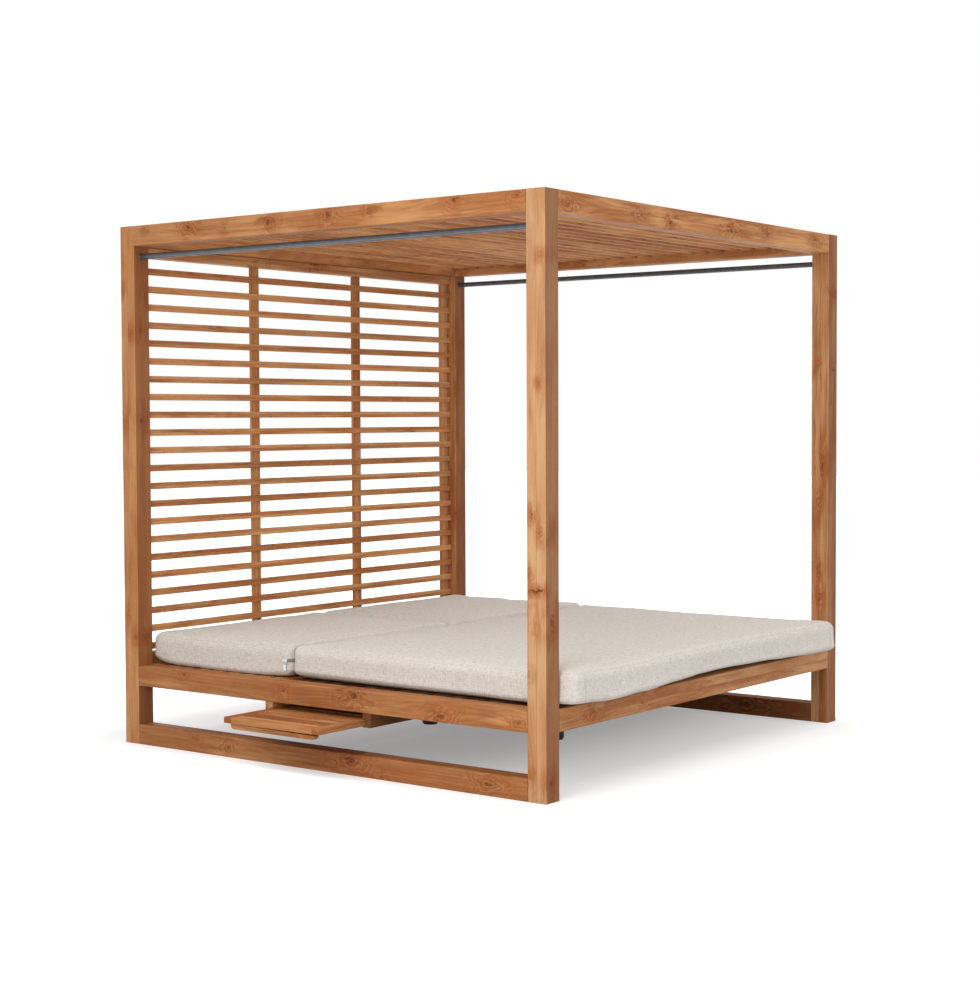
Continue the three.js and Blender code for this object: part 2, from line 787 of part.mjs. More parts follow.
// One full-width seat cushion, and a back cushion on each backrest.
function buildCushions() {
  const group = new THREE.Group();
  const outer = railInnerX - cushionSideGap;
  const bottom = seatRailTop + cushionRest;
  const seat = cushionGeometry(
    [-outer, -halfLength - cushionOverhang],
    [outer, cushionSplit - cushionSplitGap / 2],
    cushionFootCorner,
    cushionCorner,
  );
  addMesh(group, "seat_cushion", seat, fabric, [0, 0, bottom]);
  for (const side of sides) {
    const x = span(side.sign * cushionSideGap, side.sign * outer);
    const back = cushionGeometry(
      [x[0], cushionSplit + cushionSplitGap / 2],
      [x[1], halfLength - panelDepth - cushionHeadGap],
      cushionCorner,
      cushionCorner,
    );
    addMesh(group, `back_cushion_${side.name}`, back, fabric, [0, 0, bottom]);
  }
  return group;
}

const daybed = new THREE.Group();
daybed.add(buildPosts());
daybed.add(buildRails());
daybed.add(buildHeadPanel());
daybed.add(buildRoof());
daybed.add(buildCurtainRods());
daybed.add(buildCarriers());
daybed.add(buildSeatDecks());
daybed.add(buildRunners());
for (const side of sides) {
  daybed.add(buildRecliner(side));
  daybed.add(buildTray(side));
}
daybed.add(buildCushions());

export default daybed;
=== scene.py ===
"""Outdoor daybed with a slatted canopy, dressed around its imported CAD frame. Metres, +Z up.

The foot end looks to -Y, the head end to +Y, and left is -X.
"""

import json
import math
import random

import bmesh
import bpy
import numpy as np
from mathutils import Matrix, Vector, noise
from mathutils.bvhtree import BVHTree


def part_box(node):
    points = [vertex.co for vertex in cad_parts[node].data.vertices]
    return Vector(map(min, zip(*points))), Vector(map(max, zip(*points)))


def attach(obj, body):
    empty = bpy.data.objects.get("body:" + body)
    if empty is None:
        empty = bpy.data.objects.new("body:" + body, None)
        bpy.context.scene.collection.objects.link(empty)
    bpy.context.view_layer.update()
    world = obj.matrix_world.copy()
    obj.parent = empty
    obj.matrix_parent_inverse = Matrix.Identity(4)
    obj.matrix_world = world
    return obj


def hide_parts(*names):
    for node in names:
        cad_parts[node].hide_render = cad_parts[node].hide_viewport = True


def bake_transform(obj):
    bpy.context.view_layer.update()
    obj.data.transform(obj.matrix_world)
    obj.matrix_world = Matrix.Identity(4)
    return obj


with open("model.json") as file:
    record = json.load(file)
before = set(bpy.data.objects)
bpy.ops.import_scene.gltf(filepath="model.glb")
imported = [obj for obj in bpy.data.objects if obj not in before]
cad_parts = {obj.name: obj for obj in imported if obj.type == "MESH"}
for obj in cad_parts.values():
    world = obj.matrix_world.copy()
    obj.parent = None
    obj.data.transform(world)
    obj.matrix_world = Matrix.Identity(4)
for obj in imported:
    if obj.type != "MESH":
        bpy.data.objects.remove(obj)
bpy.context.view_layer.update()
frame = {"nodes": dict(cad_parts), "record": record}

bl_info = {
    "name": "Canopy daybed",
    "version": (1, 0, 0),
    "blender": (4, 5, 0),
    "location": "3D View > Sidebar > Daybed",
    "description": "Builds a teak daybed with a slatted canopy, reclining backs and sliding trays",
    "category": "Object",
}

MM = 0.001
UP = Vector((0, 0, 1))
SIDES = (("left", -1), ("right", 1))
ENDS = (("foot", -1), ("head", 1))
BODY_OF = {
    node: body
    for body, nodes in frame["record"]["behaviour"]["bodies"].items()
    for node in nodes
}

# For each direction a board can run in, the axis of its length and the two of its section.
SECTION_AXES = {"x": (0, 1, 2), "y": (1, 2, 0), "z": (2, 0, 1)}
AXIS_TURNS = {
    "x": Matrix.Rotation(math.pi / 2, 4, "Y"),
    "y": Matrix.Rotation(-math.pi / 2, 4, "X"),
    "z": Matrix.Identity(4),
}
WHITE = (1, 1, 1, 1)

# Steps in the rounding of a board's ends and of its long edges.
END_STEPS = 2
CORNER_STEPS = 3

# Edges above these angles are sharp ones. Pieces with round noses have the second, for their facets.
SHARP = math.radians(35)
NOSE_SHARP = math.radians(50)

# Points nearer than the weld become one, and so do faces that lie flat. The weight favours large faces.
WELD = 0.02 * MM
FLAT = math.radians(0.5)
FLAT_WEIGHT = 80

# How far along and aside from a board the heart of its tree lies, and the same aside for a shaped one.
HEART_RUN = 50
HEART_ASIDE = (0.03, 0.12)
SHAPED_ASIDE = (0.08, 0.03)

# Rounding along the edges of shaped and hidden timber.
HIDDEN_EASE = 1 * MM
RUNNER_EASE = 1.2 * MM
SHAPED_EASE = 1.5 * MM
HINGE_RAIL_EASE = 2 * MM

# Slats, stiles and battens, and how far they are let into each other.
STILE = 30 * MM
SLAT_HEIGHT = 25.5 * MM
SLAT_THICKNESS = 18 * MM
SLAT_HOUSING = 1 * MM
ROOF_HOUSING = 3 * MM
HEAD_SLATS = 22
HEAD_TOP_GAP = 40 * MM
HEAD_BOTTOM_GAP = 12 * MM
ROOF_SLATS = 25
SLAT_UNEVEN = 1.2 * MM
ROOF_PALE = 0.1
ROOF_DARK = (-0.14, 0.30)
GAP = 0.3 * MM
DECK_THICKNESS = 15 * MM
DECK_EASE = 2.5 * MM
DECK_SLAT = 60 * MM
DECK_GAP = 20 * MM
TRAY_BATTEN = 36 * MM
TRAY_GAP = 7 * MM
# The darkness of each tray slat: the boards differ in tone, and the tray as a whole is darker than the frame,
# partly as painted shade from the bed above it.
TRAY_TONES_AND_PAINTED_SHADE = (0.06, 0.74, 0.22, -0.06, 0.78, 0.14, 0.62)
TRAY_SLATS = len(TRAY_TONES_AND_PAINTED_SHADE)

# How many sides each kind of turned piece has.
ROD_SIDES = 40
SOCKET_SIDES = 48
LEG_SIDES = 64
STEEL_SIDES = 32
NUT_SIDES = 6

# Curtain rods and the slot in their flanks: its depth, and its half height as a share of the radius.
ROD_CHAMFER = 1.2 * MM
ROD_GROOVE = 3.4 * MM
ROD_FLANK = 0.2

# The sockets at the rods' ends: how far their flange stands in from the CAD's, the play round the rod,
# the cup's wall, the flange's thickness and the rounding.
SOCKET_INSET = 1.9 * MM
SOCKET_PLAY = 0.4 * MM
SOCKET_WALL = 0.9 * MM
SOCKET_FLANGE = 1.3 * MM
SOCKET_EASE = 0.4 * MM

# A centre leg in millimetres: inset from its radius, then up from the floor or down from the top.
LEG_FOOT = ((5, 0), (3, 1.5), (3, 6), (0.8, 6.5), (0, 8))
LEG_HEAD = ((0, 7), (1, 5), (1, 0))

# Hinge bolts, and the chamfer of the props' rods.
STEEL_CHAMFER = 1 * MM
BOLT_SHANK = 4 * MM
BOLT_HEAD = 5 * MM
HEAD_WASHER = 1.4 * MM
NUT_WASHER = 1.2 * MM

# How much distance along a knot's own axis counts, against distance across it.
KNOT_DEPTH = 0.12

# The knots of the most visible boards: the board's axis that a knot runs along, then its place along
# the board and across its face from the board's middle, its radius and its stretch along the grain.
KNOTS = {
    "top_rail_left": (
        (2, 0.873, 0.024, 0.006, 1.3), (2, 0.627, 0.014, 0.011, 1.5), (2, 0.439, -0.004, 0.006, 1.2),
        (2, 0.221, 0.006, 0.014, 1.2), (2, -0.069, 0.012, 0.012, 1.3), (2, -0.270, 0.012, 0.008, 1.5),
        (2, -0.632, 0.022, 0.011, 1.3), (2, -0.896, 0.020, 0.010, 1.4),
    ),
    "top_rail_foot": (
        (1, -0.900, -0.006, 0.008, 2.2), (1, -0.473, -0.010, 0.008, 2.0), (1, -0.262, -0.014, 0.011, 1.4),
        (1, 0.164, -0.010, 0.010, 2.4), (1, 0.409, 0.008, 0.008, 2.0), (1, 0.837, 0.004, 0.008, 2.4),
    ),
    "seat_rail_left": (
        (2, 0.675, 0.026, 0.007, 1.3), (2, 0.159, 0.008, 0.008, 1.5), (2, -0.108, 0.036, 0.007, 1.6),
        (2, -0.178, 0.020, 0.016, 1.6), (2, -0.568, -0.018, 0.013, 1.8), (2, -0.889, -0.008, 0.008, 1.4),
    ),
    "seat_rail_foot": (
        (1, -0.766, 0.004, 0.008, 2.0), (1, -0.454, -0.004, 0.007, 2.0), (1, -0.002, 0.016, 0.007, 2.0),
    ),
    "floor_rail_left": (
        (2, 0.621, 0.016, 0.007, 1.6), (2, 0.446, 0.000, 0.009, 1.3), (2, -0.157, 0.020, 0.014, 2.4),
        (2, -0.307, -0.030, 0.008, 1.4), (2, -0.766, 0.002, 0.013, 1.8),
    ),
    "post_foot_left": (
        (1, -0.055, 0.018, 0.008, 1.3), (1, -0.251, 0.032, 0.007, 1.3), (1, -0.113, -0.021, 0.007, 2.0),
        (1, 0.370, -0.010, 0.005, 1.4), (1, 0.783, -0.017, 0.006, 1.4), (1, -0.578, 0.033, 0.007, 1.3),
        (2, -0.408, -0.004, 0.013, 1.6), (2, -0.306, -0.036, 0.006, 1.3), (2, -0.935, -0.011, 0.012, 1.3),
    ),
    "post_head_left": (
        (1, 0.585, -0.016, 0.008, 1.3), (1, 0.758, 0.036, 0.008, 1.5), (1, -0.584, -0.028, 0.008, 1.2),
        (2, 0.602, -0.003, 0.008, 1.4), (2, 0.254, -0.010, 0.013, 1.5), (2, 0.736, 0.019, 0.008, 1.6),
    ),
    "post_foot_right": (
        (1, 0.054, -0.011, 0.008, 4.5), (1, 0.755, -0.046, 0.007, 1.6), (1, 0.457, 0.015, 0.007, 1.6),
        (1, -0.104, 0.007, 0.007, 3.2), (1, -0.378, 0.006, 0.006, 4.0), (1, -0.492, -0.001, 0.008, 2.6),
        (2, 0.452, 0.005, 0.009, 1.6), (2, 0.178, 0.033, 0.007, 1.4),
    ),
    "floor_rail_right": ((2, -0.62, 0.004, 0.016, 2.6), (2, 0.30, 0.0, 0.010, 1.6)),
}

# Boards with a tone set for each: how pale, from 0 to 1, and how dark, from -0.5 upwards. Some tones are
# painted light and shade: the paleness of the left foot post is a painted sheen, and the darkness of the
# right floor rail, the tray runners and the aprons is painted shade from the bed above them.
BOARD_TONES_AND_PAINTED_LIGHT = {
    "post_foot_left": (0.72, -0.24),
    "post_foot_right": (0.40, -0.10),
    "post_head_left": (0.10, -0.24),
    "post_head_right": (0.0, 0.16),
    "top_rail_left": (0.10, -0.06),
    "top_rail_foot": (0.10, 0.05),
    "seat_rail_left": (0.05, 0.12),
    "seat_rail_foot": (0.25, 0.02),
    "floor_rail_left": (0.10, 0.08),
    "floor_rail_right": (0.0, 0.55),
    "tray_runner_foot": (0.0, 0.40),
    "tray_runner_head": (0.0, 0.30),
    "tray_apron_left": (0.10, 0.26),
    "tray_apron_right": (0.10, 0.26),
}
# The tray's battens are darkened in the same way, partly as painted shade.
TRAY_BATTEN_TONE_AND_PAINTED_SHADE = (0.05, 0.38)

# How far the cushions' lower edge stands off the frame: along the foot by x, and along the sides by y.
FOOT_LIP = (
    (-0.96, 0.0130), (-0.85, 0.0100), (-0.70, 0.0015), (-0.50, 0.0060), (-0.30, 0.0145), (-0.10, 0.0210),
    (0.10, 0.0235), (0.30, 0.0200), (0.54, 0.0127), (0.70, 0.0085), (0.87, 0.0065), (0.96, 0.0065),
)
SIDE_LIFT = (
    (-1.05, 0.0100), (-0.86, 0.0105), (-0.57, 0.0115), (-0.37, 0.0135), (-0.10, 0.0165), (0.165, 0.0190),
    (0.20, 0.0170), (0.255, 0.0090), (0.357, 0.0030), (0.46, 0.0010), (0.79, 0.0015), (0.85, 0.0060),
    (0.91, 0.0190), (0.96, 0.0360),
)

# Where the foot's lip takes over from the sides, and how far in from the foot it reaches.
LIP_START, LIP_END, LIP_REACH = 0.86, 1.00, 0.18

# How far in from the edges a cushion rises to its full crown, and its rows of faces along a rounded edge.
CROWN_REACH = 0.30
EDGE_STEPS = 4

# The swell grows from nothing at the underside to its full size this far above it.
SWELL_START = 50 * MM

# The cloth simulation: its length in frames, how much of a downward move is kept, how far above the
# underside a cover is pinned or keeps free of folds, and the settings of the cloth.
SWELL_STEPS = 20
SINK_SHARE = 0.2
PINNED_BELOW = 2 * MM
UNFOLDED_BELOW = 1 * MM
COVER_CLOTH = {
    "quality": 5,
    "mass": 0.35,
    "tension_stiffness": 18,
    "compression_stiffness": 18,
    "shear_stiffness": 8,
    "bending_stiffness": 0.8,
    "use_pressure": True,
    "uniform_pressure_force": 4.0,
    "shrink_min": -0.012,
}

# The folds of a cover: their height, and how many come in a metre across the bed and upwards.
FOLDS = ((3.2 * MM, 3.6, 7.0), (1.5 * MM, 11.0, 16.0), (0.6 * MM, 34.0, 8.0))
SEAM_DEPTH = 1.4 * MM

# A zip: the length of one tooth, its steps round the corner, how far it ends before the other corner,
# and how far out from the cover the search for its surface starts.
ZIP_STEP = 2.5 * MM
ZIP_CORNER_STEPS = 14
ZIP_SHORT = 30 * MM
ZIP_PROBE = 50 * MM

# Its section in millimetres, up the cover and out from it. Every other tooth stands out at the crests.
ZIP_SECTION = (
    (-7, -1), (-7, 0.8), (-2.2, 0.8), (-2, 1.6), (-0.4, 0.96),
    (0.4, 0.96), (2, 1.6), (2.2, 0.8), (7, 0.8), (7, -1),
)
ZIP_CREST = 1.6
ZIP_TOOTH = 0.7

# The slider's place on the zip and its scale. In millimetres, its blocks are the body, the bridge with
# its two feet and the pull, each with size, centre and rounding. The ring has centre, radius and wire.
ZIP_PARK = 2
ZIP_SLIDER = 1.3
SLIDER_BLOCKS = (
    ((15, 3.0, 12), (0, 3.4, 0), 1.3),
    ((15, 1.6, 4), (0, 6.6, 0), 0.7),
    ((3, 3.4, 4), (-6, 5.4, 0), 0.7),
    ((3, 3.4, 4), (6, 5.4, 0), 0.7),
    ((8, 1.8, 20), (0, 5.6, -20), 0.8),
    ((5, 3.0, 9), (0, 5.6, -23), 1.2),
)
SLIDER_RING = ((0, 6.4, -6), 5.0, 1.1)

# The camera that took the photograph.
CAMERA_PLACE = Vector((-5.9394, -4.4820, 1.2597))
CAMERA_YAW = math.radians(37.0515)
CAMERA_PITCH = math.radians(2.24246)
CAMERA_ROLL = math.radians(-0.21712)
FOCAL_PIXELS = 1860.802
FRAME_PIXELS = 981
SENSOR = 36.0

# The lamps: size, place and aim.
LAMPS = {
    "key": (2.2, (-4.0, -1.5, 1.7), (-0.4, -0.5, 0.9)),
    "front": (4.4, (1.2, -6.0, 2.2), (0.0, 0.0, 0.8)),
    "top": (9.0, (-0.4, -1.0, 6.5), (0.0, -0.2, 0.0)),
    "back": (4.0, (1.6, 5.6, 2.6), (0.0, 0.6, 0.9)),
}

# How much faster the floor's painted glow turns it white beside the daybed than before and behind it, so its
# painted shade reaches further at the foot and the head.
SIDE_FALL = 5.0


# Settings


def length_property(name, description, default, most=10.0):
    return bpy.props.FloatProperty(
        name=name, description=description, default=default,
        min=0.0, max=most, precision=4, subtype="DISTANCE", unit="LENGTH",
    )


def share_property(name, description, default):
    return bpy.props.FloatProperty(
        name=name, description=description, default=default, min=0.0, max=1.0, subtype="FACTOR",
    )


def power_property(name, description, default):
    return bpy.props.FloatProperty(name=name, description=description, default=default, min=0.0, unit="POWER")


def colour_property(name, description, default):
    return bpy.props.FloatVectorProperty(
        name=name, description=description, default=default, size=3, min=0.0, max=1.0, subtype="COLOR",
    )


class DAYBED_PG_timber(bpy.types.PropertyGroup):
    light_wood: colour_property("Light wood", "Early wood between the rings", (0.618, 0.293, 0.110))
    pale_wood: colour_property("Pale wood", "Early wood of the palest boards", (0.640, 0.395, 0.205))
    dark_wood: colour_property("Dark wood", "Late wood in the rings and streaks", (0.212, 0.070, 0.021))
    red_wood: colour_property("Red wood", "Warm heartwood round knots and in bands", (0.400, 0.112, 0.026))
    knot_wood: colour_property("Knots", "Heart of a knot", (0.135, 0.030, 0.007))
    ring_spacing: length_property("Ring spacing", "Distance between growth rings", 0.0105)
    frame_ease: length_property("Frame ease", "Rounding along the edges of posts and rails", 0.003)
    slat_ease: length_property("Slat ease", "Rounding along the edges of slats", 0.0018)
    end_ease: length_property("End ease", "Rounding around the ends of boards", 0.0009)
    post_lamella: length_property("Post lamella", "Thickness of the boards a post is glued from", 0.038)
    tone_spread: share_property("Tone spread", "How much boards differ in colour", 0.22)


class DAYBED_PG_fabric(bpy.types.PropertyGroup):
    light_yarn: colour_property("Light yarn", "Pale yarn of the cover", (0.812, 0.764, 0.703))
    dark_yarn: colour_property("Dark yarn", "Darker yarn of the cover", (0.430, 0.392, 0.342))
    tape_colour: colour_property("Zip tape", "Tape and coil of the zips", (0.330, 0.300, 0.265))
    thread_spacing: length_property("Thread spacing", "Distance between threads of the weave", 0.0014)
    cell: length_property("Cell", "Size of a face before the last subdivision", 0.022)
    upper_radius: length_property("Upper radius", "Rounding where the top turns into the side", 0.034)
    joint_radius: length_property("Joint radius", "Rounding of the upper edge where cushions meet", 0.018)
    lower_radius: length_property("Lower radius", "Rounding where the side turns under", 0.020)
    crown: length_property("Crown", "How far the middle stands above the edges", 0.012)
    draw_in: length_property("Draw-in", "How far the sides pull in between the corners", 0.005)
    swell_cap: length_property("Swell cap", "The most that the cover swells in the simulation", 0.010)
    under_reach: length_property("Under reach", "How far in from its edge a cushion begins to rest", 0.060)


class DAYBED_PG_metal(bpy.types.PropertyGroup):
    rod_colour: colour_property("Rod paint", "Dark finish of the curtain rods", (0.086, 0.096, 0.106))
    leg_colour: colour_property("Leg plastic", "Black of the centre legs", (0.009, 0.009, 0.010))
    steel_colour: colour_property("Steel", "Bolts, rods and zips", (0.560, 0.560, 0.555))


class DAYBED_PG_stage(bpy.types.PropertyGroup):
    floor_colour: colour_property("Floor", "Pale floor", (0.64, 0.64, 0.645))
    ambient: share_property("Ambient", "Strength of the even light from all around", 0.54)
    key_power: power_property("Key power", "Soft lamp at the left", 60.0)
    front_power: power_property("Front power", "Soft lamp before the foot end", 72.0)
    back_power: power_property("Back power", "Soft lamp behind the head end", 36.0)
    top_power: power_property("Top power", "Soft lamp above", 250.0)
    floor_lift: share_property("Floor lift", "Light added to the floor below the object as it is seen", 0.285)
    edge_lift: share_property("Edge lift", "Light added to the floor beside the object", 0.45)
    shade_depth: length_property("Shade depth", "How far inside the footprint the floor is darkest", 0.85)
    white_start: length_property("White start", "Distance from the object where white begins", 0.14)
    white_end: length_property("White end", "Distance from the object where the floor is white", 0.74)


SETTINGS = {
    "daybed_timber": DAYBED_PG_timber,
    "daybed_fabric": DAYBED_PG_fabric,
    "daybed_metal": DAYBED_PG_metal,
    "daybed_stage": DAYBED_PG_stage,
}


# Shader graphs


class Value:
    """A socket that gives a value. Reckoning with it adds a math node to its graph."""

    def __init__(self, graph, socket):
        self.graph, self.socket = graph, socket

    def __add__(self, other):
        return self.graph.reckon("ADD", self, other)

    def __sub__(self, other):
        return self.graph.reckon("SUBTRACT", self, other)

    def __rsub__(self, other):
        return self.graph.reckon("SUBTRACT", other, self)

    def __mul__(self, other):
        return self.graph.reckon("MULTIPLY", self, other)

    def __truediv__(self, other):
        return self.graph.reckon("DIVIDE", self, other)

    def __pow__(self, other):
        return self.graph.reckon("POWER", self, other)

    def apply(self, operation):
        return self.graph.reckon(operation, self)

    def clamped(self):
        """Keeps the value between 0 and 1."""
        self.socket.node.use_clamp = True
        return self

    def split(self):
        made = self.graph.node("ShaderNodeSeparateXYZ")
        self.graph.join(self, made.inputs[0])
        return [Value(self.graph, socket) for socket in made.outputs]

    def ease(self, low, high, to_low=0.0, to_high=1.0):
        """A smooth step of the value from one range to another."""
        made = self.graph.node("ShaderNodeMapRange", interpolation_type="SMOOTHSTEP")
        for wanted, socket in zip((self, low, high, to_low, to_high), made.inputs):
            self.graph.join(wanted, socket)
        return Value(self.graph, made.outputs[0])


class Graph:
    """Short calls for making shader nodes and joining them."""

    def __init__(self, tree):
        self.tree = tree

    def node(self, kind, **settings):
        made = self.tree.nodes.new(kind)
        for name, value in settings.items():
            setattr(made, name, value)
        return made

    def join(self, source, target):
        """Links a value to an input, or writes a constant to it."""
        if isinstance(source, Value):
            self.tree.links.new(source.socket, target)
        else:
            target.default_value = source

    def feed(self, sockets, values):
        for label, value in values.items():
            self.join(value, sockets[label])

    def reckon(self, operation, *values):
        """One math node over its values, for vectors where one of them is a vector or a colour."""
        wide = any(isinstance(v, Value) and v.socket.type in ("VECTOR", "RGBA") for v in values)
        made = self.node("ShaderNodeVectorMath" if wide else "ShaderNodeMath", operation=operation)
        for value, socket in zip(values, made.inputs):
            repeated = wide and isinstance(value, float)
            self.join((value,) * 3 if repeated else value, socket)
        return Value(self, made.outputs["Vector" if wide and operation != "LENGTH" else "Value"])

    def combine(self, *values):
        made = self.node("ShaderNodeCombineXYZ")
        for value, socket in zip(values, made.inputs):
            self.join(value, socket)
        return Value(self, made.outputs[0])

    def mix(self, factor, first, second, blend="MIX"):
        made = self.node("ShaderNodeMix", data_type="RGBA", blend_type=blend)
        self.join(factor, made.inputs["Factor"])
        self.join(first, made.inputs[6])
        self.join(second, made.inputs[7])
        return Value(self, made.outputs[2])

    def noise(self, vector, detail=2.0, roughness=0.5, scale=1.0, output="Fac"):
        made = self.node("ShaderNodeTexNoise")
        self.feed(made.inputs, {"Vector": vector, "Scale": scale, "Detail": detail, "Roughness": roughness})
        return Value(self, made.outputs[output])

    def attribute(self, name, output="Vector"):
        made = self.node("ShaderNodeAttribute", attribute_type="GEOMETRY", attribute_name=name)
        return Value(self, made.outputs[output])

    def place(self):
        return Value(self, self.node("ShaderNodeTexCoord").outputs["Object"])

    def use(self, group, values):
        """Places a node group, and gives its outputs by name."""
        made = self.node("ShaderNodeGroup", node_tree=bpy.data.node_groups[group])
        self.feed(made.inputs, values)
        return {socket.name: Value(self, socket) for socket in made.outputs}

    def bump(self, height, strength, distance):
        made = self.node("ShaderNodeBump")
        self.feed(made.inputs, {"Strength": strength, "Distance": distance, "Height": height})
        return Value(self, made.outputs[0])


def new_group(name, inputs, outputs):
    """A shader node group: its graph, its inputs by name and the sockets of its output node."""
    tree = bpy.data.node_groups.new(name, "ShaderNodeTree")
    for way, sockets in (("INPUT", inputs), ("OUTPUT", outputs)):
        for kind, labels in sockets.items():
            for label in labels:
                tree.interface.new_socket(label, in_out=way, socket_type=f"NodeSocket{kind}")
    graph = Graph(tree)
    given = {socket.name: Value(graph, socket) for socket in graph.node("NodeGroupInput").outputs}
    return graph, given, graph.node("NodeGroupOutput").inputs


def new_material(name):
    """A material with only a Principled shader: its graph and that shader's inputs."""
    material = bpy.data.materials.new(name)
    material.use_nodes = True
    material.node_tree.nodes.clear()
    graph = Graph(material.node_tree)
    shader = graph.node("ShaderNodeBsdfPrincipled")
    graph.join(Value(graph, shader.outputs[0]), graph.node("ShaderNodeOutputMaterial").inputs["Surface"])
    return graph, shader.inputs


def opaque(colour, share=1.0):
    """A colour for a socket, made darker or paler by a share."""
    return (*(min(1.0, share * v) for v in colour), 1.0)


def build_knot_reach():
    """How near a place in a board is to one knot, counted in the knot's own radius."""
    graph, given, result = new_group(
        "knot_reach", {"Vector": ("Board", "Centre", "Reach")}, {"Float": ("Near",)})
    uneven = graph.noise(given["Board"] * (26.0, 60.0, 60.0), 1.0, output="Color")
    away = given["Board"] - given["Centre"] + (uneven - 0.5) * (0.026, 0.020, 0.020)
    graph.feed(result, {"Near": (away * given["Reach"]).apply("LENGTH")})


def build_scattered_knots():
    """The same measure for knots that lie anywhere, in a share of the cells of a board."""
    graph, given, result = new_group(
        "scattered_knots", {"Vector": ("Board", "Heart"), "Float": ("Share", "Size")}, {"Float": ("Near",)})
    cells = graph.node("ShaderNodeTexVoronoi", feature="F1")
    place = (given["Board"] + given["Heart"]) * (5.2, 10.0, 10.0)
    graph.feed(cells.inputs, {"Vector": place, "Scale": 1.0})
    pick, size, _ = Value(graph, cells.outputs["Color"]).split()
    near = Value(graph, cells.outputs["Distance"]) / ((size + 0.35) * given["Size"])
    none = graph.reckon("GREATER_THAN", pick, given["Share"]) * 50.0
    graph.feed(result, {"Near": near + none})


def build_timber_grain():
    """Growth rings, streaks, pores and knots of one board, or of several boards glued side by side."""
    graph, given, result = new_group(
        "timber_grain",
        {
            "Vector": ("Board", "Heart", "Seed"),
            "Float": ("Near", "Lamella", "Ring Spacing", "Curl"),
            "Color": ("Light Wood", "Pale Wood", "Dark Wood", "Red Wood", "Knot Wood"),
        },
        {"Color": ("Color",), "Float": ("Roughness", "Height")},
    )
    near = given["Near"]

    # The strips that a board is glued from, and the thin lines between them.
    strip = given["Board"].split()[2] / given["Lamella"]
    glue = (0.5 - (strip.apply("FRACT") - 0.5).apply("ABSOLUTE")) * given["Lamella"]
    glue_line = glue.ease(0.0, 0.9 * MM, 1.0, 0.0)

    # Each strip comes from another part of the tree, and its grain wanders a little.
    chance = graph.node("ShaderNodeTexWhiteNoise", noise_dimensions="4D")
    graph.feed(chance.inputs, {"Vector": given["Seed"], "W": strip.apply("FLOOR")})
    pick_x, pick_y, pick_z = Value(graph, chance.outputs["Color"]).split()
    shift = graph.combine(pick_x * 9.0, (pick_y - 0.5) * 0.03, (pick_z - 0.5) * 0.03)
    place = given["Board"] + given["Heart"] + shift
    bend = graph.noise(place * (1.9, 6.0, 6.0), output="Color")
    bent = place + (bend - 0.5) * (0.0, 0.060, 0.060)

    # Growth rings round the heart, which swirl near a knot and end in a band of late wood.
    swirl = near.ease(0.0, 4.6, 1.0, 0.0)
    along, ring_y, ring_z = bent.split()
    distance = graph.combine(0.0, ring_y + (along * 2.3).apply("SINE") * 0.030, ring_z).apply("LENGTH")
    ragged = graph.noise(place * (7.0, 50.0, 50.0))
    turn = (distance / given["Ring Spacing"] + ragged * 1.1 + swirl ** 1.6 * 2.6).apply("FRACT")
    late = turn ** 1.8 * turn.ease(0.80, 1.0, 1.0, 0.0)

    # Marks along the grain, from broad bands to fine pores.
    figure = graph.noise(bent * (1.6, 42.0, 42.0), 3.0, 0.6)
    streak = graph.noise(bent * (5.0, 210.0, 210.0), 2.0, 0.6)
    pore = graph.noise(bent * (34.0, 1150.0, 1150.0), 1.0).ease(0.60, 0.70)
    broad = graph.noise(place * (2.2, 9.0, 9.0))
    ray = graph.noise(bent * (7.0, 30.0, 30.0))
    halo = near.ease(1.2, 6.0, 1.0, 0.0) * ray.ease(0.44, 0.54)

    # The board's own colour, darker where late wood, marks and knots lie.
    paleness, _, tone = given["Seed"].split()
    dark = late * (swirl * 0.55 + broad.ease(0.30, 0.66, 0.24, 0.62)) + figure.ease(0.28, 0.74, -0.08, 0.66)
    dark = dark + (streak - 0.5) * 0.55 + (broad - 0.5) * 1.35 + (ray - 0.5) * 0.70
    dark = (dark + (tone + (pick_y - 0.5) * 0.22) + halo * 0.22 + pore * 0.16).clamped()
    colour = graph.mix(dark, graph.mix(paleness, given["Light Wood"], given["Pale Wood"]), given["Dark Wood"])
    warm = (broad.ease(0.42, 0.66, 0.0, 0.50) + halo * 0.75).clamped()
    colour = graph.mix(warm, colour, given["Red Wood"])

    # Pale and dark curls round the knots.
    wander = graph.noise(place * (11.0, 19.0, 19.0), 1.0, 0.4)
    curl = (near * 0.55 + wander * 6.5).apply("FRACT")
    curl_zone = (near.ease(1.0, 6.5, 1.10, 0.0) * given["Curl"]).clamped()
    colour = graph.mix(curl.ease(0.05, 0.50, 0.26, 0.0) * curl_zone, colour, given["Pale Wood"])
    curl_line = curl.ease(0.50, 0.84) * curl.ease(0.86, 1.0, 1.0, 0.0)
    curl_dark = curl_line * curl_zone * ray.ease(0.34, 0.54, 0.35, 1.0)
    colour = graph.mix(curl_dark, colour, graph.mix(0.85, given["Red Wood"], given["Dark Wood"]))

    # The knots themselves: a dark core and a broken rim.
    spot = graph.noise(place * (120.0, 170.0, 170.0), 2.0, 0.6)
    core = near.ease(0.50, 1.00, 1.0, 0.0) * spot.ease(0.34, 0.56, 0.30, 1.0)
    rim = near.ease(1.05, 1.30) * near.ease(1.35, 1.60, 1.0, 0.0) * spot.ease(0.44, 0.58, 0.0, 0.70)
    knot = graph.mix(0.94, given["Red Wood"], given["Knot Wood"])
    colour = graph.mix(graph.reckon("MAXIMUM", core, rim), colour, knot)
    graph.feed(result, {
        "Color": graph.mix(glue_line * 0.60, colour, given["Knot Wood"]),
        "Roughness": streak * 0.16 + dark * 0.08 + 0.46,
        "Height": streak * 0.35 - pore * 0.7 - glue_line * 0.8 + late * 0.25,
    })


